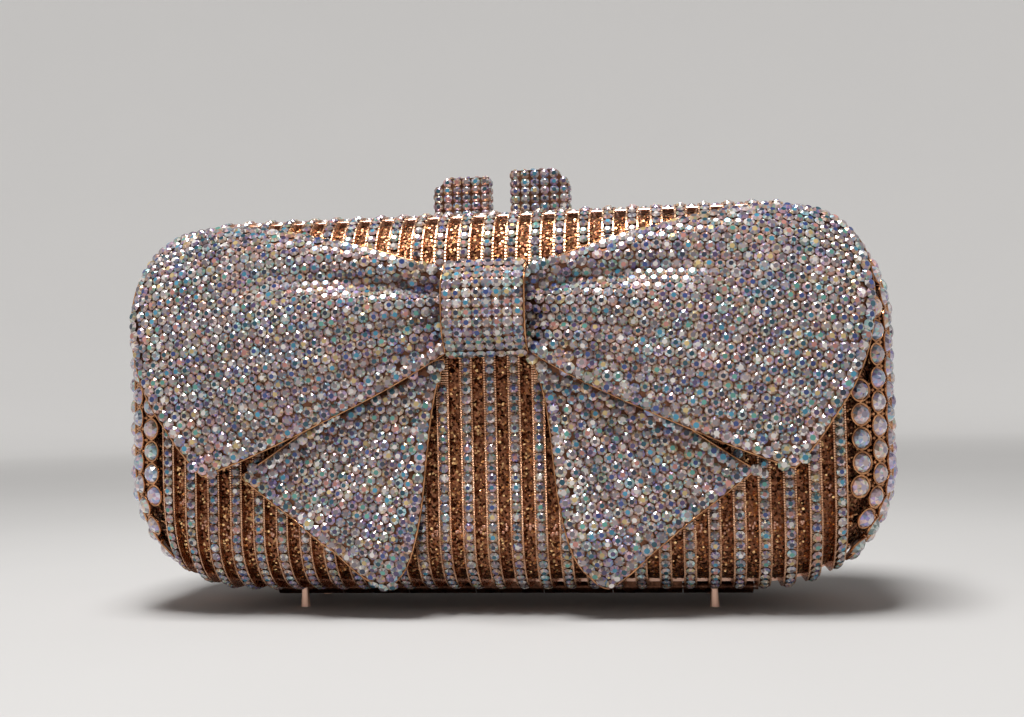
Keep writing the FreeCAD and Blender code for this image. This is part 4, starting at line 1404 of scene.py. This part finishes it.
# How far bars reach and lean, as shares of a crystal's radius, and how thick their knots are, of a bar's.
LINK_REACH = 3.4
EDGE_LINK_REACH = 2.55
EDGE_LINK_LEAN = 0.6
KNOT = 1.7
EDGE_KNOT = 1.8
# Trefoils: how far the three grains stand from the middle one, and how large they are beside it.
TREFOIL_APART = 1.7
TREFOIL_GRAIN = 0.7


def lace_batches(seats, radius, sizes, frame_tree):
    """Rings round the crystals, bars to their neighbours and to the ribs and rim, and grains between them."""
    wire = sizes.bezel_wire / radius
    ring = wire_ring(1.0 + wire * RING_ROOM, wire)
    rings = [seat_matrix(place, normal, radius, 0.0, 0.0) for place, normal in seats]
    bars = []
    grains = []
    near = []

    def link(start, end, normal, knot):
        """A bar with a grain on its middle."""
        bars.append(bar_matrix(start, end, sizes.link_wire))
        grains.append(seat_matrix((start + end) / 2, normal, sizes.link_wire * knot, 0.0, 0.0))

    for index, (place, normal) in enumerate(seats):
        reach = radius * LINK_REACH
        near.append([at for at, (other, _) in enumerate(seats) if 0 < (other - place).length < reach])
        for other, other_normal in (seats[at] for at in near[index] if at > index):
            way = (other - place).normalized()
            start = place + way * radius - normal * sizes.link_wire
            end = other - way * radius - other_normal * sizes.link_wire
            link(start, end, normal, KNOT)
        spot, _, _, gap = frame_tree.find_nearest(place)
        if gap < radius * EDGE_LINK_REACH:
            way = (spot - place).normalized()
            side = normal.cross(way).normalized()
            for lean in (-EDGE_LINK_LEAN, EDGE_LINK_LEAN):
                start = place + (way + side * lean).normalized() * radius - normal * sizes.link_wire
                end = spot + side * (lean * radius / 2) + way * sizes.link_wire
                link(start, end, normal, EDGE_KNOT)
    for first, others in enumerate(near):
        for second in others:
            for third in near[second]:
                if first < second < third and third in others:
                    grains += trefoil([seats[at] for at in (first, second, third)], sizes)
    return [(ring, rings), (bar(), bars), (grain(), grains)]


def trefoil(corners, sizes):
    """Three grains and a larger one between three crystals."""
    middle = sum((place for place, _ in corners), Vector()) / 3
    normal = sum((out for _, out in corners), Vector()).normalized()
    found = [seat_matrix(middle, normal, sizes.granule, 0.0, 0.0)]
    for place, _ in corners:
        way = (middle - place).normalized()
        spot = middle - way * sizes.granule * TREFOIL_APART
        found.append(seat_matrix(spot, normal, sizes.granule * TREFOIL_GRAIN, 0.0, 0.0))
    return found


class CLUTCH_OT_latch_coil(bpy.types.Operator):
    """Wind the latch's return spring"""

    bl_idname = "clutch.latch_coil"
    bl_label = "Wind the latch spring"

    TURNS = 9
    STEPS = 16
    # Distance between the corners of the wire that is made of these steps.
    CORNER_STEP = 0.0003

    def execute(self, context):
        sizes = context.scene.clutch_sizes
        low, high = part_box("latch_spring")
        middle = (low + high) / 2
        radius = (high.z - low.z) / 2 - sizes.coil_wire
        travel = high.x - low.x - 2 * sizes.coil_wire
        points = []
        for step in range(self.TURNS * self.STEPS + 1):
            turn = math.tau * step / self.STEPS
            share = step / (self.TURNS * self.STEPS)
            points.append(Vector((low.x + sizes.coil_wire + travel * share,
                                  middle.y + radius * math.cos(turn), middle.z + radius * math.sin(turn))))
        coil = tube_along(points, sizes.coil_wire, closed=False, step=self.CORNER_STEP)
        steel = bpy.data.materials["plain_fittings"]
        piece = add_piece("latch_coil", coil, steel, "back_half")
        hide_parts("latch_spring")
        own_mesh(piece)
        return {"FINISHED"}


class CLUTCH_OT_stage(bpy.types.Operator):
    """Set up the floor, the backdrop, the lamps and the camera"""

    bl_idname = "clutch.stage"
    bl_label = "Set the stage"

    FLOOR_RADIUS = 2.0
    FLOOR_SIDES = 96
    WALL_HEIGHT = 2.2
    CORNER_RADIUS = 0.9
    CORNER_STEPS = 16
    SKY_TONE = (1.0, 0.98, 0.96, 1.0)
    # Where each lamp stands and how wide it is.
    KEY_LAMP = ((-0.06, -0.18, 0.80), 0.3)
    FILL_LAMPS = {
        "left_lamp": ((-0.75, -0.45, 0.40), 0.5),
        "right_lamp": ((0.80, -0.40, 0.45), 0.5),
        "back_lamp": ((0.10, 0.75, 0.70), 0.5),
    }

    def execute(self, context):
        scene = context.scene
        stage = scene.clutch_stage
        sweep = bmesh.new()
        bmesh.ops.create_circle(sweep, cap_ends=True, radius=self.FLOOR_RADIUS, segments=self.FLOOR_SIDES)
        corner = sweep.edges[:]
        wall = bmesh.ops.extrude_edge_only(sweep, edges=corner)["geom"]
        bmesh.ops.translate(sweep, verts=only(bmesh.types.BMVert, wall), vec=UP * self.WALL_HEIGHT)
        bmesh.ops.bevel(sweep, geom=corner, offset=self.CORNER_RADIUS, affect="EDGES",
                        segments=self.CORNER_STEPS, profile=0.5, material=-1)
        for face in sweep.faces:
            face.smooth = True
        mesh = bpy.data.meshes.new("studio_sweep")
        sweep.to_mesh(mesh)
        mesh.materials.append(studio_finish("studio_floor", scene.clutch_colours.floor, stage.glow))
        floor = add_object("studio_sweep", mesh)
        middle = (cad_box[0] + cad_box[1]) / 2
        add_lamp("key_lamp", *self.KEY_LAMP, stage.key_power, middle)
        for name, (place, size) in self.FILL_LAMPS.items():
            add_lamp(name, place, size, stage.fill_power, middle)
        world = bpy.data.worlds.new("studio")
        world.use_nodes = True
        sky = world.node_tree.nodes["Background"]
        sky.inputs["Color"].default_value = self.SKY_TONE
        sky.inputs["Strength"].default_value = stage.sky
        scene.world = world
        add_camera(scene, stage)
        scene.view_settings.view_transform = "Standard"
        return {"FINISHED"}


def add_lamp(name, place, size, power, target):
    lamp = bpy.data.lights.new(name, "AREA")
    lamp.energy = power
    lamp.size = size
    holder = add_object(name, lamp)
    holder.location = place
    holder.rotation_euler = (target - Vector(place)).to_track_quat("-Z", "Y").to_euler()


def add_camera(scene, stage):
    camera = bpy.data.cameras.new("camera")
    camera.sensor_width = 36.0
    camera.lens = stage.lens
    camera.clip_start = 0.01
    camera.clip_end = 20.0
    holder = add_object("camera", camera)
    upright = Matrix.Rotation(math.pi / 2 + stage.camera_tilt, 4, "X")
    turned = Matrix.Rotation(stage.camera_turn, 4, "Z") @ upright
    leaned = turned @ Matrix.Rotation(stage.camera_roll, 4, "Z")
    holder.matrix_world = Matrix.Translation(stage.camera_place) @ leaned
    scene.camera = holder


class CLUTCH_PT_panel(bpy.types.Panel):
    """Steps and settings of the clutch"""

    bl_idname = "CLUTCH_PT_panel"
    bl_label = "Crystal box clutch"
    bl_space_type = "VIEW_3D"
    bl_region_type = "UI"
    bl_category = "Clutch"

    def draw(self, context):
        for step in STEPS:
            self.layout.operator(step.bl_idname)
        for group in ("clutch_sizes", "clutch_colours", "clutch_stage"):
            settings = getattr(context.scene, group)
            for name in settings.__annotations__:
                self.layout.prop(settings, name)


GROUPS = {"clutch_sizes": ClutchSizes, "clutch_colours": ClutchColours, "clutch_stage": ClutchStage}
STEPS = (
    CLUTCH_OT_finish_metal,
    CLUTCH_OT_rib_stones,
    CLUTCH_OT_ridge_bars,
    CLUTCH_OT_glitter_flakes,
    CLUTCH_OT_rim_stones,
    CLUTCH_OT_bow_stones,
    CLUTCH_OT_clasp_stones,
    CLUTCH_OT_crystal_ends,
    CLUTCH_OT_latch_coil,
    CLUTCH_OT_stage,
)


def register():
    for group in GROUPS.values():
        bpy.utils.register_class(group)
    for step in STEPS:
        bpy.utils.register_class(step)
    bpy.utils.register_class(CLUTCH_PT_panel)
    for name, group in GROUPS.items():
        setattr(bpy.types.Scene, name, bpy.props.PointerProperty(type=group))


def unregister():
    for name in GROUPS:
        delattr(bpy.types.Scene, name)
    bpy.utils.unregister_class(CLUTCH_PT_panel)
    for step in reversed(STEPS):
        bpy.utils.unregister_class(step)
    for group in GROUPS.values():
        bpy.utils.unregister_class(group)


def main():
    register()
    for step in STEPS:
        family, name = step.bl_idname.split(".")
        getattr(getattr(bpy.ops, family), name)()


if __name__ == "__main__":
    main()
